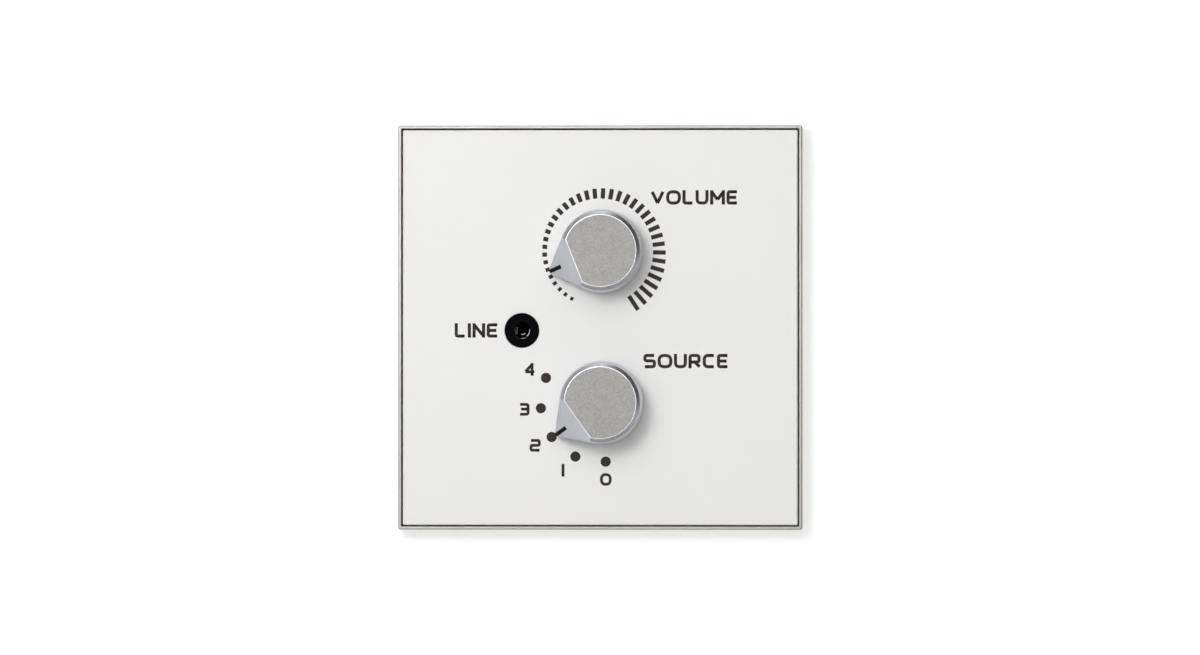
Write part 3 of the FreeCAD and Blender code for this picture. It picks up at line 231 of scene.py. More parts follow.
class Wire:
    """A shader socket that adds its own math nodes when it is used in an expression."""

    def __init__(self, owner, socket):
        self.owner = owner
        self.socket = socket

    __add__ = wire_math("ADD")
    __radd__ = wire_math("ADD", turned_round=True)
    __sub__ = wire_math("SUBTRACT")
    __rsub__ = wire_math("SUBTRACT", turned_round=True)
    __mul__ = wire_math("MULTIPLY")
    __truediv__ = wire_math("DIVIDE")
    __mod__ = wire_math("FLOORED_MODULO")
    __gt__ = wire_math("GREATER_THAN")
    __lt__ = wire_math("LESS_THAN")
    __abs__ = wire_math("ABSOLUTE")
    high = wire_math("MAXIMUM")


class Nodes:
    """The shader nodes of one material or of the surround."""

    def __init__(self, owner, output):
        owner.use_nodes = True
        self.tree = owner.node_tree
        self.tree.nodes.clear()
        self.output = self.tree.nodes.new(output)

    def feed(self, socket, value):
        """Links a wire to a socket, or sets the socket's own value."""
        if isinstance(value, Wire):
            self.tree.links.new(value.socket, socket)
        else:
            socket.default_value = value

    def node(self, kind, settings, sockets, output=0):
        """Adds a node, sets its settings, then its sockets, and gives one of its outputs."""
        made = self.tree.nodes.new(kind)
        for name, value in settings.items():
            setattr(made, name, value)
        for name, value in sockets.items():
            self.feed(made.inputs[name], value)
        return Wire(self, made.outputs[output])

    def background_rays(self):
        """Rays that show the background: straight to the camera, in a reflection, or through glass."""
        kinds = ("Is Camera Ray", "Is Glossy Ray", "Is Transmission Ray")
        camera, glossy, through = (self.node("ShaderNodeLightPath", {}, {}, kind) for kind in kinds)
        return camera.high(glossy).high(through)


class Finish(Nodes):
    """A material with one main shader."""

    def __init__(self, name):
        self.material = bpy.data.materials.new(name)
        super().__init__(self.material, "ShaderNodeOutputMaterial")
        self.shader = self.tree.nodes.new("ShaderNodeBsdfPrincipled")
        self.tree.links.new(self.shader.outputs[0], self.output.inputs["Surface"])
        self.where = self.node("ShaderNodeTexCoord", {}, {}, "Object")

    def set(self, **values):
        """Sets the main shader's sockets by plain names."""
        for name, value in values.items():
            if isinstance(value, tuple) and len(value) == 3:
                value = (*value, 1.0)
            self.feed(self.shader.inputs[name.replace("_", " ").title().replace("Ior", "IOR")], value)

    def axis(self, letter):
        """One coordinate of the place on the object, in metres."""
        return self.node("ShaderNodeSeparateXYZ", {}, {"Vector": self.where}, letter)

    def outward(self):
        """How far a place is from the middle along X or along Z, whichever is more."""
        return abs(self.axis("X")).high(abs(self.axis("Z")))

    def noise(self, scale, detail=2.0, rough=0.5, vector=None):
        """Soft noise from 0 to 1."""
        sockets = {"Vector": vector or self.where, "Scale": scale, "Detail": detail, "Roughness": rough}
        return self.node("ShaderNodeTexNoise", {}, sockets)

    def streaks(self, x, y, z, detail=2.0, rough=0.5):
        """Soft noise from 0 to 1 with its own scale along each axis."""
        stretched = self.node("ShaderNodeMapping", {}, {"Vector": self.where, "Scale": (x, y, z)})
        return self.noise(1.0, detail, rough, stretched)

    def ranged(self, value, low, high, low_out=0.0, high_out=1.0):
        """A value taken from one range to another, and held inside it."""
        sockets = {"Value": value, "From Min": low, "From Max": high, "To Min": low_out, "To Max": high_out}
        return self.node("ShaderNodeMapRange", {"clamp": True}, sockets)

    def following(self, noise, low_out=0.0, high_out=1.0):
        """A value that follows a noise, taken from the range that holds most of it."""
        return self.ranged(noise, 0.3, 0.7, low_out, high_out)

    def blend(self, factor, first, second):
        """A colour between two others. The node takes them on sockets 6 and 7 and gives socket 2."""
        sockets = {"Factor": factor}
        for number, shade in ((6, first), (7, second)):
            sockets[number] = shade if isinstance(shade, Wire) else (*shade, 1.0)
        return self.node("ShaderNodeMix", {"data_type": "RGBA"}, sockets, 2)

    def shades(self, factor, base, spread):
        """A colour that varies a little darker and lighter than its base."""
        dark = tuple(c * (1.0 - spread) for c in base)
        light = tuple(min(c * (1.0 + spread), 1.0) for c in base)
        return self.blend(factor, dark, light)

    def bump(self, height, depth):
        """Dents and grain of a depth in micrometres."""
        sockets = {"Height": height, "Distance": depth * micron}
        self.feed(self.shader.inputs["Normal"], self.node("ShaderNodeBump", {}, sockets))

    def surface(self, tint, grain, smoothest, roughest, depth, **others):
        """A finish whose roughness and bump follow one grain. The bump's depth is in micrometres."""
        self.set(base_color=tint, roughness=self.following(grain, smoothest, roughest), **others)
        self.bump(grain, depth)

    def metal(self, tint, grain, smoothest, roughest, depth, **others):
        """A metal whose roughness and bump follow one grain."""
        self.surface(tint, grain, smoothest, roughest, depth, metallic=1.0, **others)


def frame_metal(f, colours):
    """Brushed sheet: streaks run along each rim, with a dull, slightly warm shine. The front edge and inner faces
    take a darker tone as painted shade, and the outer sides and back a lighter tone as painted light.
    """
    along_x = abs(f.axis("Z")) > abs(f.axis("X"))
    fine_x = f.streaks(90.0, 9000.0, 9000.0, 3.0)
    fine_z = f.streaks(9000.0, 9000.0, 90.0, 3.0)
    grain = along_x * fine_x + (1.0 - along_x) * fine_z
    skin = 0.1 * mm
    outer_face = 0.15 * mm
    outer = f.outward() > (frame_high.x - frame_low.x) / 2 - outer_face
    behind_edge = f.axis("Y") > frame_low.y + skin
    back = f.axis("Y") > frame_high.y - skin
    # One sheet in two tones: painted shade on the front edge and inner faces, painted light on the outer sides and
    # back.
    tone = grain * 0.6 + f.noise(45.0, 3.0) * 0.4
    edge, tray = (f.shades(tone, base, 0.10) for base in (colours.rim, colours.tray))
    tint = f.blend((outer * behind_edge).high(back), edge, tray)
    f.metal(tint, grain, 0.40, 0.52, 6, specular_tint=(0.55, 0.54, 0.53))


def white_plate(f, colours):
    """Satin white moulding with a very fine grain and a polished edge. The edge band is also painted lighter: a
    painted highlight beside the real smoother polish.
    """
    polish_and_highlight_width = 0.26 * mm
    edge = f.outward() > (plate_high.x - plate_low.x) / 2 - polish_and_highlight_width
    grain = f.noise(5200.0)
    body = f.shades(f.noise(30.0, 3.0), colours.plate, 0.008)
    # The edge band is lighter in colour as a painted highlight, and smoother as real polish.
    f.set(
        base_color=f.blend(edge, body, (0.93, 0.93, 0.93)),
        roughness=f.following(grain, 0.42, 0.52) * (1.0 - edge * 0.75),
        ior=1.49,
    )
    f.bump(grain * (1.0 - edge), 4)


def printed_ink(f, colours):
    """Flat screen ink, a little uneven."""
    grain = f.noise(4200.0, 3.0)
    f.surface(f.shades(grain, colours.ink, 0.25), grain, 0.5, 0.62, 4, specular_ior_level=0.2)


def knob_metal(f, colours):
    """Turned metal with a soft shine and a very fine grain."""
    speckle = f.noise(3600.0, 4.0, 0.7)
    tone = f.ranged(speckle * 0.8 + f.noise(240.0) * 0.2, 0.34, 0.66)
    f.metal(f.shades(tone, colours.knob, 0.09), speckle, 0.28, 0.38, 4)


def knob_top(f, colours):
    """Blasted metal of the knobs' tops: a matt speckle all over, with no direction."""
    speckle = f.noise(3000.0, 4.0, 0.8)
    tone = f.ranged(speckle * 0.9 + f.noise(700.0) * 0.1, 0.38, 0.62)
    f.metal(f.shades(tone, colours.knob_top, 0.23), speckle, 0.62, 0.76, 10)


def knob_cut(f, colours):
    """The bright cut round the top of a knob, with the tool's faint rings."""
    rings = f.streaks(700.0, 22000.0, 700.0)
    f.metal(f.shades(rings, colours.knob_cut, 0.04), rings, 0.44, 0.50, 1)


def marker_black(f, colours):
    """Matt black filling."""
    grain = f.noise(6000.0)
    f.surface(f.shades(grain, colours.marker, 0.3), grain, 0.5, 0.65, 5, specular_ior_level=0.1)


def jack_plastic(f, colours):
    """Moulded black plastic with a fine spark texture and a soft shine."""
    grain = f.noise(3800.0, 3.0)
    f.surface(f.shades(grain, colours.socket, 0.3), grain, 0.50, 0.62, 6, specular_ior_level=0.02)


def plated_steel(f, colours):
    """Zinc plating with faint bluish and yellowish clouds."""
    cloud = f.ranged(f.noise(600.0, 3.0), 0.35, 0.65)
    f.metal(f.blend(cloud, (0.60, 0.62, 0.64), (0.66, 0.64, 0.58)), f.noise(5000.0), 0.22, 0.36, 5)


def nickel_brass(f, base):
    """Nickel plate over brass: warm, smooth, with turned rings round the depth axis."""
    f.metal(f.shades(f.noise(420.0), base, 0.08), f.streaks(300.0, 14000.0, 300.0), 0.18, 0.30, 4)


def bushing_brass(f, colours):
    nickel_brass(f, (0.66, 0.61, 0.48))


def spacer_brass(f, colours):
    nickel_brass(f, (0.64, 0.60, 0.52))


def contact_nickel(f, colours):
    nickel_brass(f, (0.70, 0.69, 0.67))


def worn_nickel(f, colours):
    """Nickel painted near black as painted shade, standing for the dim light deep inside the socket's hole."""
    nickel_brass(f, (0.12, 0.12, 0.135))


def contact_brass(f, colours):
    """Bare spring brass, slightly tarnished."""
    tint = f.blend(f.following(f.noise(900.0, 3.0)), (0.66, 0.44, 0.17), (0.74, 0.55, 0.26))
    f.metal(tint, f.streaks(1200.0, 9000.0, 1200.0), 0.24, 0.36, 3)


def pressed_cover(f, colours):
    """Pressed aluminium sheet with long drawing marks along the depth."""
    marks = f.streaks(5200.0, 240.0, 5200.0, 3.0)
    f.metal(f.shades(f.noise(260.0), (0.62, 0.63, 0.64), 0.06), marks, 0.26, 0.40, 6)


def phenolic_board(f, colours):
    """Paper laminate: brown with pale fibres and faint clouds."""
    fibres = f.streaks(2400.0, 2400.0, 700.0, 4.0, 0.65)
    tint = f.blend(f.ranged(fibres, 0.35, 0.7), (0.20, 0.095, 0.035), (0.34, 0.18, 0.07))
    cloud = f.following(f.noise(300.0), 0.0, 0.35)
    f.set(base_color=f.blend(cloud, tint, (0.26, 0.13, 0.05)), roughness=0.42)
    f.bump(fibres, 8)


def carbon_track(f, colours):
    """Printed carbon film, matt with fine grains."""
    grain = f.noise(9000.0)
    f.surface(f.shades(grain, (0.012, 0.012, 0.013), 0.4), grain, 0.4, 0.6, 4)


def tinned_metal(f, colours):
    """Dipped tin: bright and a little lumpy."""
    lumps = f.noise(1500.0, 3.0)
    f.metal(f.shades(lumps, (0.70, 0.70, 0.68), 0.07), lumps, 0.22, 0.38, 10)


def solder(f, colours):
    """Solder fillets: smooth and wavy, with a grey bloom."""
    waves = f.noise(1100.0, 3.0)
    frost = f.noise(7000.0)
    tint = f.shades(waves * 0.6 + frost * 0.4, (0.66, 0.67, 0.69), 0.12)
    f.set(base_color=tint, metallic=1.0, roughness=f.following(frost, 0.20, 0.42))
    f.bump(waves, 40)


def moulded(f, base, smoothest, depth=6):
    """Moulded plastic with a fine spark texture and faint flow clouds."""
    grain = f.noise(4200.0, 3.0)
    tint = f.shades(f.noise(160.0) * 0.5 + grain * 0.5, base, 0.09)
    f.surface(tint, grain, smoothest, smoothest + 0.14, depth, ior=1.5)


def switch_plastic(f, colours):
    moulded(f, (0.020, 0.022, 0.028), 0.32)


def rotor_plastic(f, colours):
    moulded(f, (0.70, 0.68, 0.62), 0.34)


def header_plastic(f, colours):
    moulded(f, colours.terminal, 0.30)


def plug_plastic(f, colours):
    moulded(f, tuple(min(c * 1.25, 1.0) for c in colours.terminal), 0.26)


def chip_plastic(f, colours):
    moulded(f, (0.014, 0.014, 0.015), 0.48, 10)


def can_sleeve(f, colours):
    """Shrunk dark sleeve with a pale stripe down one side, and fine wrinkles."""
    can_x, can_radius = 14.5 * mm, 2.5 * mm
    stripe = (f.axis("X") - can_x) / can_radius < -0.72
    tint = f.blend(stripe, (0.012, 0.018, 0.055), (0.50, 0.52, 0.54))
    f.surface(tint, f.streaks(2600.0, 500.0, 2600.0, 3.0), 0.22, 0.34, 10)


def can_aluminium(f, colours):
    """Drawn aluminium with faint rings."""
    rings = f.streaks(400.0, 9000.0, 400.0)
    f.metal(f.shades(rings, (0.70, 0.71, 0.72), 0.05), rings, 0.22, 0.34, 4)


def clamp_metal(f, colours):
    """Nickel-plated steel of the wire clamps."""
    f.metal(f.shades(f.noise(800.0, 3.0), (0.66, 0.655, 0.63), 0.08), f.noise(5200.0), 0.20, 0.34, 5)


def spring_steel(f, colours):
    """Blued spring steel with a rolled grain."""
    grain = f.streaks(400.0, 8000.0, 8000.0, 3.0)
    f.metal(f.shades(grain, (0.42, 0.43, 0.46), 0.10), grain, 0.24, 0.38, 3)


def shaft_steel(f, colours):
    """Turned steel with fine rings."""
    rings = f.streaks(300.0, 16000.0, 300.0, 3.0)
    f.metal(f.shades(rings, (0.56, 0.56, 0.57), 0.08), rings, 0.20, 0.34, 4)


def circuit_laminate(f, colours):
    """Glass laminate under green resist: a faint weave, glossy faces and pale bare edges."""
    resist_depth = 0.05 * mm
    middle = (board_low.y + board_high.y) / 2
    half = (board_high.y - board_low.y) / 2
    bare = abs(f.axis("Y") - middle) < half - resist_depth
    threads = {"Vector": f.where, "Scale": 700.0}
    warp, weft = (f.node("ShaderNodeTexWave", {"bands_direction": axis}, threads) for axis in "XZ")
    weave = (warp + weft) * 0.5
    green = f.shades(weave * 0.5 + f.noise(120.0) * 0.5, colours.resist, 0.14)
    f.set(base_color=f.blend(bare, green, (0.42, 0.40, 0.22)), roughness=0.24 + bare * 0.4, ior=1.52)
    f.bump(weave, 6)


def track_under_resist(f, colours):
    """Copper under the green resist: paler and a little warmer than the board."""
    cloud = f.noise(500.0)
    f.surface(f.shades(cloud, tuple(c * 2.1 for c in colours.resist), 0.12), cloud, 0.20, 0.30, 8, ior=1.52)


def board_white(f, colours):
    """White screen print, a little thin in places."""
    grain = f.noise(3000.0, 3.0)
    f.surface(f.shades(grain, (0.66, 0.68, 0.64), 0.12), grain, 0.45, 0.6, 5)


def end_capped(f, body, caps, smoothest):
    """A chip part's body with tinned ends."""
    grain = f.noise(4200.0)
    metal = f.shades(grain, (0.66, 0.66, 0.64), 0.10)
    tint = f.blend(caps, f.shades(grain, body, 0.12), metal)
    f.set(base_color=tint, metallic=caps, roughness=smoothest + (1.0 - caps) * 0.12)
    f.bump(grain, 6)


def ends_of_row(f, first, pitch):
    """The ends of chip parts that stand in a row along X, from a first place. All in millimetres."""
    cap_from = 0.68
    offset = ((f.axis("X") / mm - first + pitch / 2) % pitch) - pitch / 2
    return abs(offset) > cap_from


def resistor_coating(f, colours):
    first = (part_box("ladder_resistors")[0].x / mm) + 1.0
    end_capped(f, (0.016, 0.016, 0.018), ends_of_row(f, first, 4.0), 0.26)


def capacitor_ceramic(f, colours):
    left = ends_of_row(f, -18.5, 5.0)
    right = ends_of_row(f, 14.0, 4.5)
    to_right = f.axis("X") > 0.0
    caps = to_right * right + (1.0 - to_right) * left
    end_capped(f, (0.36, 0.24, 0.13), caps, 0.34)


# The finish of each material slot is the function of that name.
finish_of_slot = {
    recipe.__name__: recipe
    for recipe in (
        frame_metal, white_plate, printed_ink, plated_steel, bushing_brass, pressed_cover, phenolic_board,
        carbon_track, tinned_metal, switch_plastic, contact_brass, spring_steel, jack_plastic, contact_nickel,
        circuit_laminate, spacer_brass, solder, chip_plastic, resistor_coating, capacitor_ceramic,
        can_aluminium, can_sleeve, header_plastic, plug_plastic, clamp_metal, knob_metal, marker_black,
        shaft_steel, rotor_plastic,
    )
}
slot_of_node = {part["node"]: part["material_slot"] for part in record["subparts"]}


def finish(name, recipe):
    """The material of one name, made on its first use."""
    found = bpy.data.materials.get(name)
    if found:
        return found
    made = Finish(name)
    recipe(made, bpy.context.scene.wall_colours)
    return made.material


def finish_for(slot):
    return finish("finish_" + slot, finish_of_slot[slot])


def dress(piece, *materials):
    """Gives a piece its materials, in order."""
    piece.data.materials.clear()
    for material in materials:
        piece.data.materials.append(material)


def added(name, operator, **settings):
    """A primitive added with nothing else selected, under its own name."""
    bpy.ops.object.select_all(action="DESELECT")
    operator(**settings)
    piece = bpy.context.active_object
    piece.name = name
    piece.data.name = name
    return piece


def only(piece):
    """Makes one piece the active and only selected one."""
    bpy.ops.object.select_all(action="DESELECT")
    piece.select_set(True)
    bpy.context.view_layer.objects.active = piece


def pick(piece, kind, test):
    """In edit mode, selects only the vertices, edges or faces that pass a test, and gives a place on each."""
    modes = {"verts": "VERT", "edges": "EDGE", "faces": "FACE"}
    bpy.ops.mesh.select_mode(type=modes[kind])
    bpy.ops.mesh.select_all(action="DESELECT")
    shape = bmesh.from_edit_mesh(piece.data)
    found = [item for item in getattr(shape, kind) if test(item)]
    if not found:
        raise RuntimeError(f"nothing on {piece.name} passes the test")
    for item in found:
        item.select_set(True)
    places = [item.co.copy() if kind == "verts" else item.verts[0].co.copy() for item in found]
    shape.select_flush_mode()
    bmesh.update_edit_mesh(piece.data)
    return places


def picked_faces_take(piece, material_index):
    """In edit mode, gives the selected faces a material."""
    shape = bmesh.from_edit_mesh(piece.data)
    for face in shape.faces:
        if face.select:
            face.material_index = material_index
    bmesh.update_edit_mesh(piece.data)


def set_in_place(piece, matrix):
    """Moves a piece to its place and puts that place in its mesh."""
    only(piece)
    piece.matrix_world = matrix
    bpy.ops.object.transform_apply(location=True, rotation=True, scale=True)


def linked(name, data):
    """An object of its own in the scene for some data."""
    made = bpy.data.objects.new(name, data)
    bpy.context.scene.collection.objects.link(made)
    return made


def twin(piece, name):
    """A copy of a piece with its own mesh."""
    copy = linked(name, piece.data.copy())
    copy.data.name = name
    return copy


def edited(piece):
    """Opens a piece in edit mode with all of it selected."""
    only(piece)
    bpy.ops.object.mode_set(mode="EDIT")
    bpy.ops.mesh.select_all(action="SELECT")


def merged(gap):
    """In edit mode, merges points that lie within a gap and turns every face outward."""
    bpy.ops.mesh.select_all(action="SELECT")
    bpy.ops.mesh.remove_doubles(threshold=gap)
    bpy.ops.mesh.normals_make_consistent(inside=False)


def applied(piece, kind, **settings):
    """Adds one modifier to a piece and applies it."""
    only(piece)
    modifier = piece.modifiers.new(kind.lower(), kind)
    for name, value in settings.items():
        setattr(modifier, name, value)
    bpy.ops.object.modifier_apply(modifier=modifier.name)


def cut_away(piece, cutter, operation="DIFFERENCE"):
    """Applies one boolean cut."""
    applied(piece, "BOOLEAN", operation=operation, object=cutter, solver="EXACT")


def smoothed(piece, degrees=32.0):
    """Smooth shading across gentle angles, in which the large faces stay flat."""
    only(piece)
    bpy.ops.object.shade_smooth_by_angle(angle=math.radians(degrees))
    applied(piece, "WEIGHTED_NORMAL", keep_sharp=True)


def facet_slope(sizes):
    """The top, tip and normal of the pointer's slope, on a knob that stands up with its pointer along -Y."""
    top = Vector((0.0, -sizes.facet_start, sizes.height))
    tip = Vector((0.0, -sizes.reach, sizes.facet_tip_height))
    down = (tip - top).normalized()
    normal = Vector((0.0, down.z, -down.y))
    return top, tip, normal


def knob_outline(sizes):
    """A ring of points: a circle with two tangents to a rounded tip."""
    lean = math.asin((sizes.radius - sizes.tip_radius) / (sizes.reach - sizes.tip_radius))
    covered = 90.0 - math.degrees(lean)
    sides = 4 * round(90.0 * sizes.arc_steps / covered)
    circle = bpy.ops.mesh.primitive_circle_add
    piece = added("knob_pattern", circle, vertices=sides, radius=sizes.radius, fill_type="NOTHING")
    touch_y = -sizes.radius * math.sin(lean)
    slack = 0.01 * mm
    past_middle = 1.0 * mm
    near_apex = 0.2 * mm
    tip_segments = 6
    bpy.ops.object.mode_set(mode="EDIT")
    pick(piece, "verts", lambda v: v.co.y < touch_y - slack)
    bpy.ops.mesh.delete(type="VERT")
    apex = Vector((0.0, -sizes.radius / math.sin(lean), 0.0))
    for side in (-1, 1):
        end = Vector((side * sizes.radius * math.cos(lean), touch_y, 0.0))
        last = pick(piece, "verts", lambda v: len(v.link_edges) == 1 and v.co.x * side > past_middle)[0]
        bpy.ops.transform.translate(value=end - last)
        bpy.ops.mesh.extrude_vertices_move(TRANSFORM_OT_translate={"value": apex - end})
    pick(piece, "verts", lambda v: v.co.y < apex.y + near_apex)
    bpy.ops.mesh.merge(type="CENTER")
    pick(piece, "verts", lambda v: v.co.y < apex.y + near_apex)
    reach_along = sizes.tip_radius / math.tan(lean)
    bpy.ops.mesh.bevel(offset=reach_along, segments=tip_segments, profile=0.5, affect="VERTICES")
    bpy.ops.mesh.select_all(action="SELECT")
    bpy.ops.mesh.edge_face_add()
    return piece


def raised(piece, sizes):
    """Raises the outline into the knob's straight wall, its two tapers and the cut round its top."""
    bpy.ops.mesh.extrude_region_move(TRANSFORM_OT_translate={"value": (0.0, 0.0, sizes.wall_height)})
    bpy.ops.mesh.select_all(action="SELECT")
    bpy.ops.mesh.normals_make_consistent(inside=False)
    slack = 0.01 * mm
    cut_height = sizes.height - sizes.edge_drop
    steps = (
        (sizes.wall_height, sizes.shoulder_inset, sizes.shoulder_height - sizes.wall_height),
        (sizes.shoulder_height, sizes.crown_inset - sizes.shoulder_inset, cut_height - sizes.shoulder_height),
        (cut_height, sizes.edge_cut, sizes.edge_drop),
    )
    for height, inset, rise in steps:
        pick(piece, "faces", lambda f: f.normal.z > 0.9 and abs(f.calc_center_median().z - height) < slack)
        bpy.ops.mesh.inset(thickness=inset, depth=rise, use_even_offset=True)


def sloped(piece, sizes):
    """Cuts the pointer's slope, then its bright edge and its small edges."""
    top, _, normal = facet_slope(sizes)
    slack = 0.004 * mm
    bpy.ops.mesh.select_all(action="SELECT")
    fine = 0.1 * micron
    bpy.ops.mesh.bisect(plane_co=top, plane_no=normal, use_fill=True, clear_outer=True, threshold=fine)
    merged(2 * micron)
    on_slope = lambda point: abs((point - top).dot(normal)) < slack
    at_top = lambda point: abs(point.z - sizes.height) < slack
    pick(piece, "edges", lambda e: all(at_top(v.co) and on_slope(v.co) for v in e.verts))
    bpy.ops.mesh.bevel(offset=sizes.edge_cut, segments=1, affect="EDGES")
    pick(piece, "faces", lambda f: all(at_top(v.co) for v in f.verts))
    picked_faces_take(piece, 2)
    cut_bottom = sizes.height - sizes.edge_cut
    pick(piece, "faces", lambda f: f.material_index == 0 and all(v.co.z > cut_bottom for v in f.verts))
    picked_faces_take(piece, 1)
    sharp = math.radians(25.0)
    pick(
        piece,
        "edges",
        lambda e: all(on_slope(v.co) for v in e.verts)
        and len(e.link_faces) == 2
        and e.calc_face_angle(0.0) > sharp
        and min(v.co.z for v in e.verts) < sizes.height - 2 * sizes.edge_cut,
    )
    bpy.ops.mesh.bevel(offset=sizes.small_edge, segments=2, profile=0.5, affect="EDGES")
    pick(piece, "edges", lambda e: all(abs(v.co.z) < slack for v in e.verts))
    bpy.ops.mesh.bevel(offset=2 * sizes.small_edge, segments=2, profile=0.5, affect="EDGES")
    bpy.ops.object.mode_set(mode="OBJECT")


def marker_blank(sizes):
    """A slim bar along the pointer's slope, sunk to the marker's depth."""
    top, tip, normal = facet_slope(sizes)
    down = (tip - top).normalized()
    above = 0.3 * mm
    past_tip = 0.6 * mm
    piece = added("marker_pattern", bpy.ops.mesh.primitive_cube_add, size=1.0)
    run = sizes.marker_length + past_tip
    deep = sizes.marker_depth + above
    middle = tip + down * (past_tip - run / 2) + normal * (above - deep / 2)
    tilt = Matrix((Vector((-1.0, 0.0, 0.0)), down, normal)).transposed().to_4x4()
    size = Matrix.Diagonal((sizes.marker_width, run, deep, 1.0))
    set_in_place(piece, Matrix.Translation(middle) @ tilt @ size)
    return piece


def behind_cutters(sizes):
    """The bore for the shaft and the ring hollow round its hub, both open at the back."""
    below = 0.5 * mm

    def drill(name, radius, depth, stretch=1):
        run = depth + below
        middle = (0.0, 0.0, depth - run / 2)
        cylinder = bpy.ops.mesh.primitive_cylinder_add
        return added(name, cylinder, vertices=96, radius=radius, depth=run * stretch, location=middle)

    bore = drill("bore_pattern", sizes.bore_radius, sizes.bore_depth)
    hollow = drill("hollow_pattern", sizes.radius - sizes.skirt_wall, sizes.hollow_depth)
    hub = drill("hub_pattern", sizes.bore_radius + sizes.hub_wall, sizes.hollow_depth, stretch=2)
    cut_away(hollow, hub)
    bpy.data.objects.remove(hub)
    return bore, hollow


# The socket's fingers from the front: ring radius and thickness in millimetres, then the angle from the right
# where each starts and how far it goes round clockwise, in degrees.
finger_shapes = (
    (1.45, 0.44, 12.0, 66.0),
    (1.64, 0.22, -70.0, 32.0),
    (0.80, 0.42, -44.0, 70.0),
    (1.22, 0.36, 163.0, 14.0),
)


class WALL_OT_socket_fingers(bpy.types.Operator):
    """Models the sprung fingers of the sleeve contact, which show inside the audio socket's hole"""

    bl_idname = "wall_control.socket_fingers"
    bl_label = "Socket fingers"

    def execute(self, context):
        sizes = context.scene.wall_socket
        centre = sum(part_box("jack_body"), Vector()) / 2
        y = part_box("jack_sleeve_contact")[0].y + sizes.finger_depth
        circle = bpy.ops.mesh.primitive_circle_add
        for number, (ring, thickness, start, arc) in enumerate(finger_shapes):
            name = f"socket_finger_{number + 1}"
            finger = added(name, circle, vertices=20, radius=thickness / 2 * mm, fill_type="NGON")
            set_in_place(finger, Matrix.Translation((ring * mm, 0.0, 0.0)) @ faces_front)
            edited(finger)
            bpy.ops.mesh.spin(steps=24, angle=math.radians(arc), center=(0.0, 0.0, 0.0), axis=(0.0, 0.0, 1.0))
            merged(micron)
            bpy.ops.object.mode_set(mode="OBJECT")
            smoothed(finger)
            where = Matrix.Translation((centre.x, y, centre.z)) @ faces_front
            set_in_place(finger, where @ Matrix.Rotation(math.radians(start), 4, "Z"))
            # The fingers' nickel is painted dark: painted shade for the dim light deep in the hole.
            dress(finger, finish("finish_socket_fingers", worn_nickel))
            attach(finger, "panel")
        return {"FINISHED"}


class WALL_OT_knobs(bpy.types.Operator):
    """Models one pointer knob with its marker line and sets a copy on each control's axis"""

    bl_idname = "wall_control.knobs"
    bl_label = "Knobs"

    def execute(self, context):
        sizes = context.scene.wall_knobs
        knob = knob_outline(sizes)
        raised(knob, sizes)
        knob.data.materials.append(finish_for("knob_metal"))
        knob.data.materials.append(finish("finish_knob_cut", knob_cut))
        knob.data.materials.append(finish("finish_knob_top", knob_top))
        sloped(knob, sizes)
        marker = marker_blank(sizes)
        groove = twin(marker, "groove_pattern")
        cut_away(marker, knob, "INTERSECT")
        for cutter in (groove, *behind_cutters(sizes)):
            cut_away(knob, cutter)
            bpy.data.objects.remove(cutter)
        dress(marker, finish_for("marker_black"))
        for face in marker.data.polygons:
            face.material_index = 0
        smoothed(knob)
        axes = {"level": (level_axis, sizes.level_turn), "select": (select_axis, sizes.select_turn)}
        for control, (axis, angle) in axes.items():
            where = Matrix.Translation((axis.x, knob_back_y, axis.z))
            where = where @ Matrix.Rotation(angle, 4, "Y") @ faces_front
            for pattern, part in ((knob, "knob"), (marker, "marker")):
                piece = twin(pattern, f"{control}_pointer_{part}")
                set_in_place(piece, where)
                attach(piece, f"{control}_control")
                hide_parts(f"{control}_{part}")
        for pattern in (knob, marker):
            bpy.data.objects.remove(pattern)
        return {"FINISHED"}


def line(*points):
    """A stroke with sharp corners."""
    return points, 0, False


def bent(corner, *points):
    """A stroke whose corners have a radius."""
    return points, corner, False


def looped(corner, *points):
    """A stroke with round corners that closes on itself."""
    return points, corner, True


round_oval = 0.45
deep_bend = 0.36
bend = 0.2
soft_corner = 0.16
# The strokes of each letter, on a grid where it is 1 high.
letter_strokes = {
    "0": [looped(round_oval, (0, 0), (0.9, 0), (0.9, 1), (0, 1))],
    "1": [line((0, 0), (0, 1))],
    "2": [bent(soft_corner, (0, 1), (0.85, 1), (0.85, 0.5), (0, 0.5), (0, 0), (0.88, 0))],
    "3": [bent(bend, (0, 1), (0.82, 1), (0.82, 0), (0, 0)), line((0.1, 0.52), (0.82, 0.52))],
    "4": [line((0.68, 0), (0.68, 1)), line((0.68, 1), (0, 0.27)), line((0, 0.25), (0.92, 0.25))],
    "C": [bent(deep_bend, (0.85, 1), (0, 1), (0, 0), (0.85, 0))],
    "E": [bent(soft_corner, (0.8, 1), (0, 1), (0, 0), (0.8, 0)), line((0, 0.5), (0.72, 0.5))],
    "I": [line((0, 0), (0, 1))],
    "L": [bent(soft_corner, (0, 1), (0, 0), (0.75, 0))],
    "M": [
        line((0, 0), (0, 1)),
        line((0, 1), (0.52, 0.3)),
        line((0.52, 0.3), (1.04, 1)),
        line((1.04, 1), (1.04, 0)),
    ],
    "N": [line((0, 0), (0, 1)), line((0, 1), (0.85, 0)), line((0.85, 0), (0.85, 1))],
    "O": [looped(round_oval, (0, 0), (1.04, 0), (1.04, 1), (0, 1))],
    "R": [bent(bend, (0, 0), (0, 1), (0.8, 1), (0.8, 0.42), (0, 0.42)), line((0.42, 0.42), (0.85, 0))],
    "S": [bent(bend, (0.82, 1), (0, 1), (0, 0.52), (0.85, 0.52), (0.85, 0), (0, 0))],
    "U": [bent(deep_bend, (0, 1), (0, 0), (0.88, 0), (0.88, 1))],
    "V": [line((0, 1), (0.48, 0)), line((0.48, 0), (0.96, 1))],
}


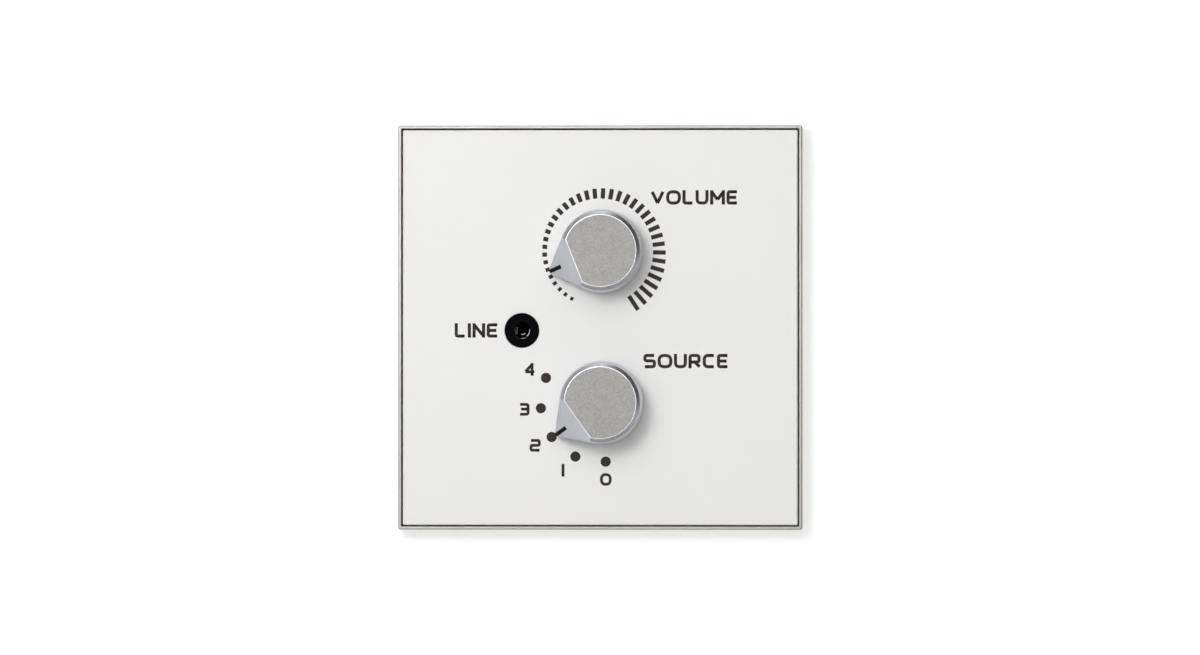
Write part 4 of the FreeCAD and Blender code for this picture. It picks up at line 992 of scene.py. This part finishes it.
def with_round_corners(points, radius, closed=False, longer=0.0, steps=6):
    """The points of a stroke, with each corner drawn round and its upright ends made longer."""
    spots = [Vector((x, y, 0.0)) for x, y in points]
    last = len(spots) - 1
    for end, inner in () if closed else ((0, 1), (last, last - 1)):
        if spots[end].x == spots[inner].x:
            spots[end].y += math.copysign(longer, spots[end].y - spots[inner].y)
    drawn = []
    for i, corner in enumerate(spots):
        if not radius or (not closed and i in (0, last)):
            drawn.append(corner)
            continue
        before, after = spots[i - 1], spots[(i + 1) % len(spots)]
        room = min(radius, (before - corner).length / 2, (after - corner).length / 2)
        start = corner + (before - corner).normalized() * room
        end = corner + (after - corner).normalized() * room
        for step in range(steps + 1):
            t = step / steps
            drawn.append(start * (1 - t) ** 2 + corner * 2 * t * (1 - t) + end * t ** 2)
    tiny = 1e-7
    return [spot for i, spot in enumerate(drawn) if i == 0 or (spot - drawn[i - 1]).length > tiny]


def laid_strokes(name, strokes, width, thickness, y, material):
    """Lays strokes of one width flat. A stroke is its (x, z) points and whether it closes."""
    path = bpy.data.curves.new(name, "CURVE")
    path.dimensions = "3D"
    path.bevel_depth = width / 2
    path.bevel_resolution = 2
    path.use_fill_caps = True
    for points, closed in strokes:
        spline = path.splines.new("POLY")
        spline.points.add(len(points) - 1)
        spline.use_cyclic_u = closed
        for point, spot in zip(spline.points, points):
            point.co = (*spot, 0.0, 1.0)
    only(linked(name, path))
    bpy.ops.object.convert(target="MESH")
    piece = bpy.context.active_object
    flat = Matrix.Diagonal((1.0, 1.0, thickness / width, 1.0))
    set_in_place(piece, Matrix.Translation((0.0, y, 0.0)) @ faces_front @ flat)
    edited(piece)
    merged(micron)
    bpy.ops.object.mode_set(mode="OBJECT")
    dress(piece, material)
    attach(piece, "panel")


def width_of(letter):
    """The width of a letter that is 1 high, between the middles of its strokes."""
    return max(x for points, radius, closed in letter_strokes[letter] for x, y in points)


def printed(name, text, height, stroke, sizes, place_of):
    """Prints a word or number on the plate. Its place follows from its width."""
    tall = height - stroke
    wide = (sum(width_of(letter) for letter in text) + sizes.letter_gap * (len(text) - 1)) * tall
    x, z = place_of(wide)
    strokes = []
    for letter in text:
        for points, radius, closed in letter_strokes[letter]:
            drawn = with_round_corners(points, radius, closed, stroke / 2 / tall)
            strokes.append(([(x + spot.x * tall, z + (spot.y - 0.5) * tall) for spot in drawn], closed))
        x += (width_of(letter) + sizes.letter_gap) * tall
    y = plate_front_y - sizes.thickness / 2
    laid_strokes(name, strokes, stroke, sizes.thickness, y, finish_for("printed_ink"))


class WALL_OT_printing(bpy.types.Operator):
    """Prints the numbers of the five positions and the three captions"""

    bl_idname = "wall_control.printing"
    bl_label = "Printing"

    def execute(self, context):
        sizes = context.scene.wall_print
        for number in range(5):
            x, z = getattr(sizes, f"place_{number}")
            place_of = lambda wide: (x - wide / 2, z)
            height, stroke = sizes.number_height, sizes.number_stroke
            printed(f"number_{number}", str(number), height, stroke, sizes, place_of)
        half = sizes.caption_stroke / 2
        upper, lower, side = sizes.upper_start, sizes.lower_start, sizes.side_end
        places = {
            "upper": lambda wide: (upper[0] + half, upper[1]),
            "lower": lambda wide: (lower[0] + half, lower[1]),
            "side": lambda wide: (side[0] - half - wide, side[1]),
        }
        for which, place_of in places.items():
            text = getattr(sizes, f"{which}_text")
            printed(f"caption_{which}", text, sizes.caption_height, sizes.caption_stroke, sizes, place_of)
        return {"FINISHED"}


# The tracks on the board's back, each as (x, z) places in millimetres. Each runs from one joint, chip end or
# through hole to another.
track_lines = (
    ((-4.55, 5.75), (-4.55, 11.0), (-5.71, 12.16), (-5.71, 15.8)),
    ((0.45, 5.75), (0.45, 9.5), (-1.91, 11.86), (-1.91, 15.8)),
    ((5.45, 5.75), (5.45, 12.0), (5.71, 12.26), (5.71, 15.8)),
    ((-5.01, -12.91), (-8.6, -9.32), (-8.6, 9.0), (-9.53, 9.93), (-9.53, 15.8)),
    ((2.89, -13.66), (10.6, -5.95), (10.6, 11.1), (9.53, 12.17), (9.53, 15.8)),
    ((-5.52, -15.98), (-8.6, -19.06), (-8.6, -24.2)),
    ((-4.43, -18.88), (-5.55, -20.0), (-5.55, -24.2)),
    ((-2.04, -20.86), (-1.55, -21.35), (-1.55, -24.2)),
    ((1.03, -21.37), (2.45, -22.79), (2.45, -24.2)),
    *(((x, -24.2), (x + 2.3, -24.2)) for x in (-6.7, -2.7, 1.3, 5.3)),
    ((9.3, -24.2), (9.3, -21.6), (12.6, -18.3), (12.6, -12.1), (16.2, -8.5)),
    ((-13.65, -0.6), (-13.65, 5.0), (-12.65, 6.0), (-12.65, 8.0)),
    ((-18.65, -0.6), (-19.4, -1.35), (-19.4, -8.0)),
    ((-18.65, -0.6), (-19.4, 0.15), (-19.4, 8.0)),
    ((-12.05, -0.6), (-11.0, -1.65), (-11.0, -7.0), (-12.0, -8.0), (-12.65, -8.0)),
    ((-16.05, 2.05), (-16.05, 12.2), (-14.6, 13.65)),
    ((-17.65, 8.0), (-14.35, 8.0)),
    ((-17.65, -8.0), (-14.35, -8.0)),
    ((16.1, -2.41), (15.5, -3.01), (15.5, -4.8)),
    ((16.1, 1.41), (15.5, 2.01), (15.5, 4.2)),
    ((16.1, -1.14), (13.4, -1.14), (12.6, -0.34), (12.6, 1.6)),
    ((16.1, 0.14), (14.4, 0.14)),
    ((13.5, 4.2), (13.5, 8.4), (12.6, 9.3)),
    ((13.5, -4.8), (13.5, -8.5)),
    ((14.85, -8.5), (17.65, -8.5)),
    ((21.1, -2.41), (21.1, -6.75), (19.35, -8.5)),
    ((21.1, 1.41), (21.1, 5.8), (19.4, 7.5)),
)
# The through holes that some tracks end at, in millimetres.
via_places = ((12.6, 1.6), (14.4, 0.14), (12.6, 9.3), (19.4, 7.5), (-14.6, 13.65))


def framed(low_x, high_x, low_z, high_z):
    """The closed outline of a rectangle."""
    return [(low_x, low_z), (high_x, low_z), (high_x, high_z), (low_x, high_z)]


def on_the_board(node):
    """The box of each loose part in a node that stands on the board, as lowest and highest x and z."""
    copy = twin(nodes[node], "loose_pattern")
    edited(copy)
    bpy.ops.mesh.remove_doubles(threshold=micron)
    bpy.ops.mesh.separate(type="LOOSE")
    bpy.ops.object.mode_set(mode="OBJECT")
    boxes = []
    for part in list(bpy.context.selected_objects):
        across = [vertex.co.x for vertex in part.data.vertices]
        along = [vertex.co.z for vertex in part.data.vertices]
        boxes.append((min(across), max(across), min(along), max(along)))
        bpy.data.objects.remove(part)
    return sorted(boxes)


outlined_nodes = ("control_header", "audio_header", "line_amplifier", "chip_capacitors", "ladder_resistors")


class WALL_OT_board(bpy.types.Operator):
    """Lays the copper tracks, the through holes and the white outlines on the board's back"""

    bl_idname = "wall_control.board"
    bl_label = "Board"

    def execute(self, context):
        sizes = context.scene.wall_board
        y = board_high.y
        track_bend = 0.5 * mm
        tall = 2 * sizes.track_height
        tracks = []
        for places in track_lines:
            spots = [(x * mm, z * mm) for x, z in places]
            tracks.append(([spot.xy for spot in with_round_corners(spots, track_bend, steps=3)], False))
        under_resist = finish("finish_tracks", track_under_resist)
        laid_strokes("board_tracks", tracks, sizes.track_width, tall, y, under_resist)
        radius = sizes.via_radius
        angles = [step * math.pi / 6 for step in range(12)]
        rings = [
            ([(x * mm + math.cos(a) * radius, z * mm + math.sin(a) * radius) for a in angles], True)
            for x, z in via_places
        ]
        tin = finish_for("tinned_metal")
        laid_strokes("board_vias", rings, radius, 3 * sizes.track_height, y, tin)
        gap = sizes.outline_gap
        outlines = []
        for node in outlined_nodes:
            for low_x, high_x, low_z, high_z in on_the_board(node):
                outlines.append((framed(low_x - gap, high_x + gap, low_z - gap, high_z + gap), True))
        white = finish("finish_outlines", board_white)
        laid_strokes("board_outlines", outlines, sizes.outline_width, tall, y, white)
        return {"FINISHED"}


def body_of_node(name):
    """The body that a CAD node moves with."""
    bodies = record["behaviour"]["bodies"]
    return next(body for body, members in bodies.items() if name in members)


def soft_edged(node, width):
    """A merged copy of a CAD node with its sharp edges rounded, which stands for that node."""
    piece = twin(nodes[node], "soft_" + node)
    edited(piece)
    bpy.ops.mesh.remove_doubles(threshold=2 * micron)
    bpy.ops.mesh.dissolve_limited(angle_limit=math.radians(0.5))
    bpy.ops.object.mode_set(mode="OBJECT")
    sharp = {"limit_method": "ANGLE", "angle_limit": math.radians(38.0)}
    applied(piece, "BEVEL", width=width, segments=2, use_clamp_overlap=True, **sharp)
    smoothed(piece, 30.0)
    dress(piece, finish_for(slot_of_node[node]))
    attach(piece, body_of_node(node))
    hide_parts(node)


# How wide the rounded edges of each of these nodes are, in millimetres.
edge_widths = {
    "mounting_frame": 0.16,
    "jack_body": 0.12,
    "control_header": 0.10,
    "audio_header": 0.10,
    "control_plug_body": 0.12,
    "audio_plug_body": 0.12,
    "select_housing": 0.12,
    "select_contact_base": 0.08,
    "level_pot_cover": 0.10,
    "bushing_nuts": 0.08,
    "board_spacers": 0.08,
    "board_screws": 0.08,
    "line_amplifier": 0.06,
}


class WALL_OT_soft_edges(bpy.types.Operator):
    """Gives the moulded and turned pieces their small rounded edges"""

    bl_idname = "wall_control.soft_edges"
    bl_label = "Soft edges"

    def execute(self, context):
        for node, width in edge_widths.items():
            soft_edged(node, width * mm)
        return {"FINISHED"}


class WALL_OT_finishes(bpy.types.Operator):
    """Gives every CAD node the finish of its material slot"""

    bl_idname = "wall_control.finishes"
    bl_label = "Finishes"

    def execute(self, context):
        for name, node in nodes.items():
            dress(node, finish_for(slot_of_node[name]))
        return {"FINISHED"}


def around(distance, azimuth, elevation):
    """A place round the object: azimuth to the right of the front, elevation above it."""
    flat = math.cos(elevation)
    return distance * Vector((math.sin(azimuth) * flat, -math.cos(azimuth) * flat, math.sin(elevation)))


def aimed(thing, target):
    """Turns a camera or a lamp towards a place."""
    thing.rotation_euler = (target - thing.location).to_track_quat("-Z", "Y").to_euler()


class WALL_OT_camera(bpy.types.Operator):
    """Sets a long-lens camera in front of the plate"""

    bl_idname = "wall_control.camera"
    bl_label = "Camera"

    def execute(self, context):
        sizes = context.scene.wall_stage
        data = bpy.data.cameras.new("camera")
        camera = linked("camera", data)
        target = Vector((0.0, plate_front_y, 0.0))
        camera.location = target + around(sizes.distance, sizes.azimuth, sizes.elevation)
        aimed(camera, target)
        data.sensor_width = 36.0
        data.lens = data.sensor_width * sizes.distance / sizes.view_width
        data.clip_end = 20.0
        context.scene.camera = camera
        return {"FINISHED"}


# Each lamp: its distance, its azimuth and elevation in degrees, its side and its power.
lamps = {
    "key": (0.45, -9.0, 9.5, 0.078, 0.48),
    "front_fill": (1.0, -8.0, 14.0, 0.64, 3.5),
    "top_strip": (0.9, 0.0, 74.0, 0.26, 0.20),
    "back_key": (1.3, 160.0, 32.0, 0.80, 8.0),
    "back_fill": (1.4, -130.0, 8.0, 0.80, 5.0),
}
# Each card that only reflections show: its shade, its place, its width and its height.
cards = {
    "card_right": (0.05, Vector((0.42, -0.28, 0.27)), 0.56, 0.84),
    "card_left": (0.80, Vector((-0.37, -0.11, 0.23)), 0.44, 0.50),
    "card_low": (0.75, Vector((0.05, -0.09, -0.30)), 0.60, 0.40),
}


def lamp(name, distance, azimuth, elevation, side, power):
    """A square soft lamp, aimed at the object."""
    data = bpy.data.lights.new(name, "AREA")
    data.shape = "SQUARE"
    data.size = side
    data.energy = power
    made = linked(name, data)
    made.location = around(distance, math.radians(azimuth), math.radians(elevation))
    aimed(made, Vector())


def backdrop_white(name, shade, lift, see_through):
    """Matt white that reads as plain white in the view and keeps shadows. From behind it can be clear."""
    f = Finish(name)
    f.set(base_color=(shade, shade, shade), roughness=1.0, specular_ior_level=0.0)
    glow = f.node("ShaderNodeEmission", {}, {"Strength": f.background_rays() * lift})
    shown = f.node("ShaderNodeAddShader", {}, {0: Wire(f, f.shader.outputs[0]), 1: glow})
    if see_through:
        behind = f.node("ShaderNodeNewGeometry", {}, {}, "Backfacing")
        clear = f.node("ShaderNodeBsdfTransparent", {}, {})
        shown = f.node("ShaderNodeMixShader", {}, {0: behind, 1: shown, 2: clear})
    f.feed(f.output.inputs["Surface"], shown)
    return f.material


def plain_world(seen, cast):
    """A white surround where it is seen, and an even dimmer light on the object."""
    world = bpy.data.worlds.new("surround")
    bpy.context.scene.world = world
    sky = Nodes(world, "ShaderNodeOutputWorld")
    strength = sky.background_rays() * (seen - cast) + cast
    white = {"Color": (1.0, 1.0, 1.0, 1.0), "Strength": strength}
    sky.feed(sky.output.inputs["Surface"], sky.node("ShaderNodeBackground", {}, white))


def wall_with_opening(side, opening):
    """A wall with a square opening that the tray covers."""
    wall = added("wall", bpy.ops.mesh.primitive_plane_add, size=side)
    edited(wall)
    bpy.ops.mesh.inset(thickness=(side - opening) / 2)
    pick(wall, "faces", lambda f: f.calc_center_median().length < 0.01 * mm)
    bpy.ops.mesh.delete(type="FACE")
    bpy.ops.object.mode_set(mode="OBJECT")
    return wall


def reflected_card(name, shade, middle, width, height):
    """A card beside the stage, seen only in the metal's reflections."""
    card = added(name, bpy.ops.mesh.primitive_plane_add, size=1.0)
    facing = (-middle).to_track_quat("Z", "Y").to_matrix().to_4x4()
    set_in_place(card, Matrix.Translation(middle) @ facing @ Matrix.Diagonal((width, height, 1.0, 1.0)))
    f = Finish(f"finish_{name}")
    f.set(base_color=f.shades(f.noise(8.0), (shade, shade, shade), 0.1), roughness=0.9)
    dress(card, f.material)
    for rays in ("camera", "diffuse", "shadow"):
        setattr(card, f"visible_{rays}", False)


class WALL_OT_stage(bpy.types.Operator):
    """Builds the white wall, the pale floor, the cards, the soft lamps and the surround"""

    bl_idname = "wall_control.stage"
    bl_label = "Stage"

    def execute(self, context):
        sizes = context.scene.wall_stage
        covered = 0.4 * mm
        behind_tray = 0.05 * mm
        opening = frame_high.x - frame_low.x - covered
        wall = wall_with_opening(sizes.wall_size, opening)
        set_in_place(wall, Matrix.Translation((0.0, behind_tray, 0.0)) @ faces_front)
        dress(wall, backdrop_white("wall_white", shade=0.60, lift=0.56, see_through=True))
        floor = added("floor", bpy.ops.mesh.primitive_plane_add, size=2 * sizes.wall_size)
        set_in_place(floor, Matrix.Translation((0.0, 0.0, -sizes.floor_drop)))
        dress(floor, backdrop_white("floor_pale", shade=0.78, lift=0.28, see_through=False))
        for name, values in cards.items():
            reflected_card(name, *values)
        for name, values in lamps.items():
            lamp(name, *values)
        plain_world(seen=0.72, cast=0.33)
        context.scene.view_settings.view_transform = "Standard"
        return {"FINISHED"}


class WALL_PT_panel(bpy.types.Panel):
    """Lists the steps that dress the wall control"""

    bl_label = "Wall control"
    bl_idname = "WALL_PT_panel"
    bl_space_type = "VIEW_3D"
    bl_region_type = "UI"
    bl_category = "Wall control"

    def draw(self, context):
        layout = self.layout
        for step in steps:
            layout.operator(step.bl_idname)
        for name in groups:
            box = layout.box()
            group = getattr(context.scene, name)
            for field in group.__annotations__:
                box.prop(group, field)


groups = {
    "wall_knobs": KnobSizes,
    "wall_socket": SocketSizes,
    "wall_board": BoardSizes,
    "wall_print": PrintSizes,
    "wall_colours": FinishColours,
    "wall_stage": StageSizes,
}
steps = (
    WALL_OT_camera,
    WALL_OT_stage,
    WALL_OT_finishes,
    WALL_OT_soft_edges,
    WALL_OT_knobs,
    WALL_OT_socket_fingers,
    WALL_OT_printing,
    WALL_OT_board,
)


def register():
    for kind in (*groups.values(), *steps, WALL_PT_panel):
        bpy.utils.register_class(kind)
    for name, group in groups.items():
        setattr(bpy.types.Scene, name, PointerProperty(type=group))


def unregister():
    for name in groups:
        delattr(bpy.types.Scene, name)
    for kind in (WALL_PT_panel, *reversed(steps), *reversed(groups.values())):
        bpy.utils.unregister_class(kind)


def main():
    register()
    for step in steps:
        category, name = step.bl_idname.split(".")
        getattr(getattr(bpy.ops, category), name)()


if __name__ == "__main__":
    main()
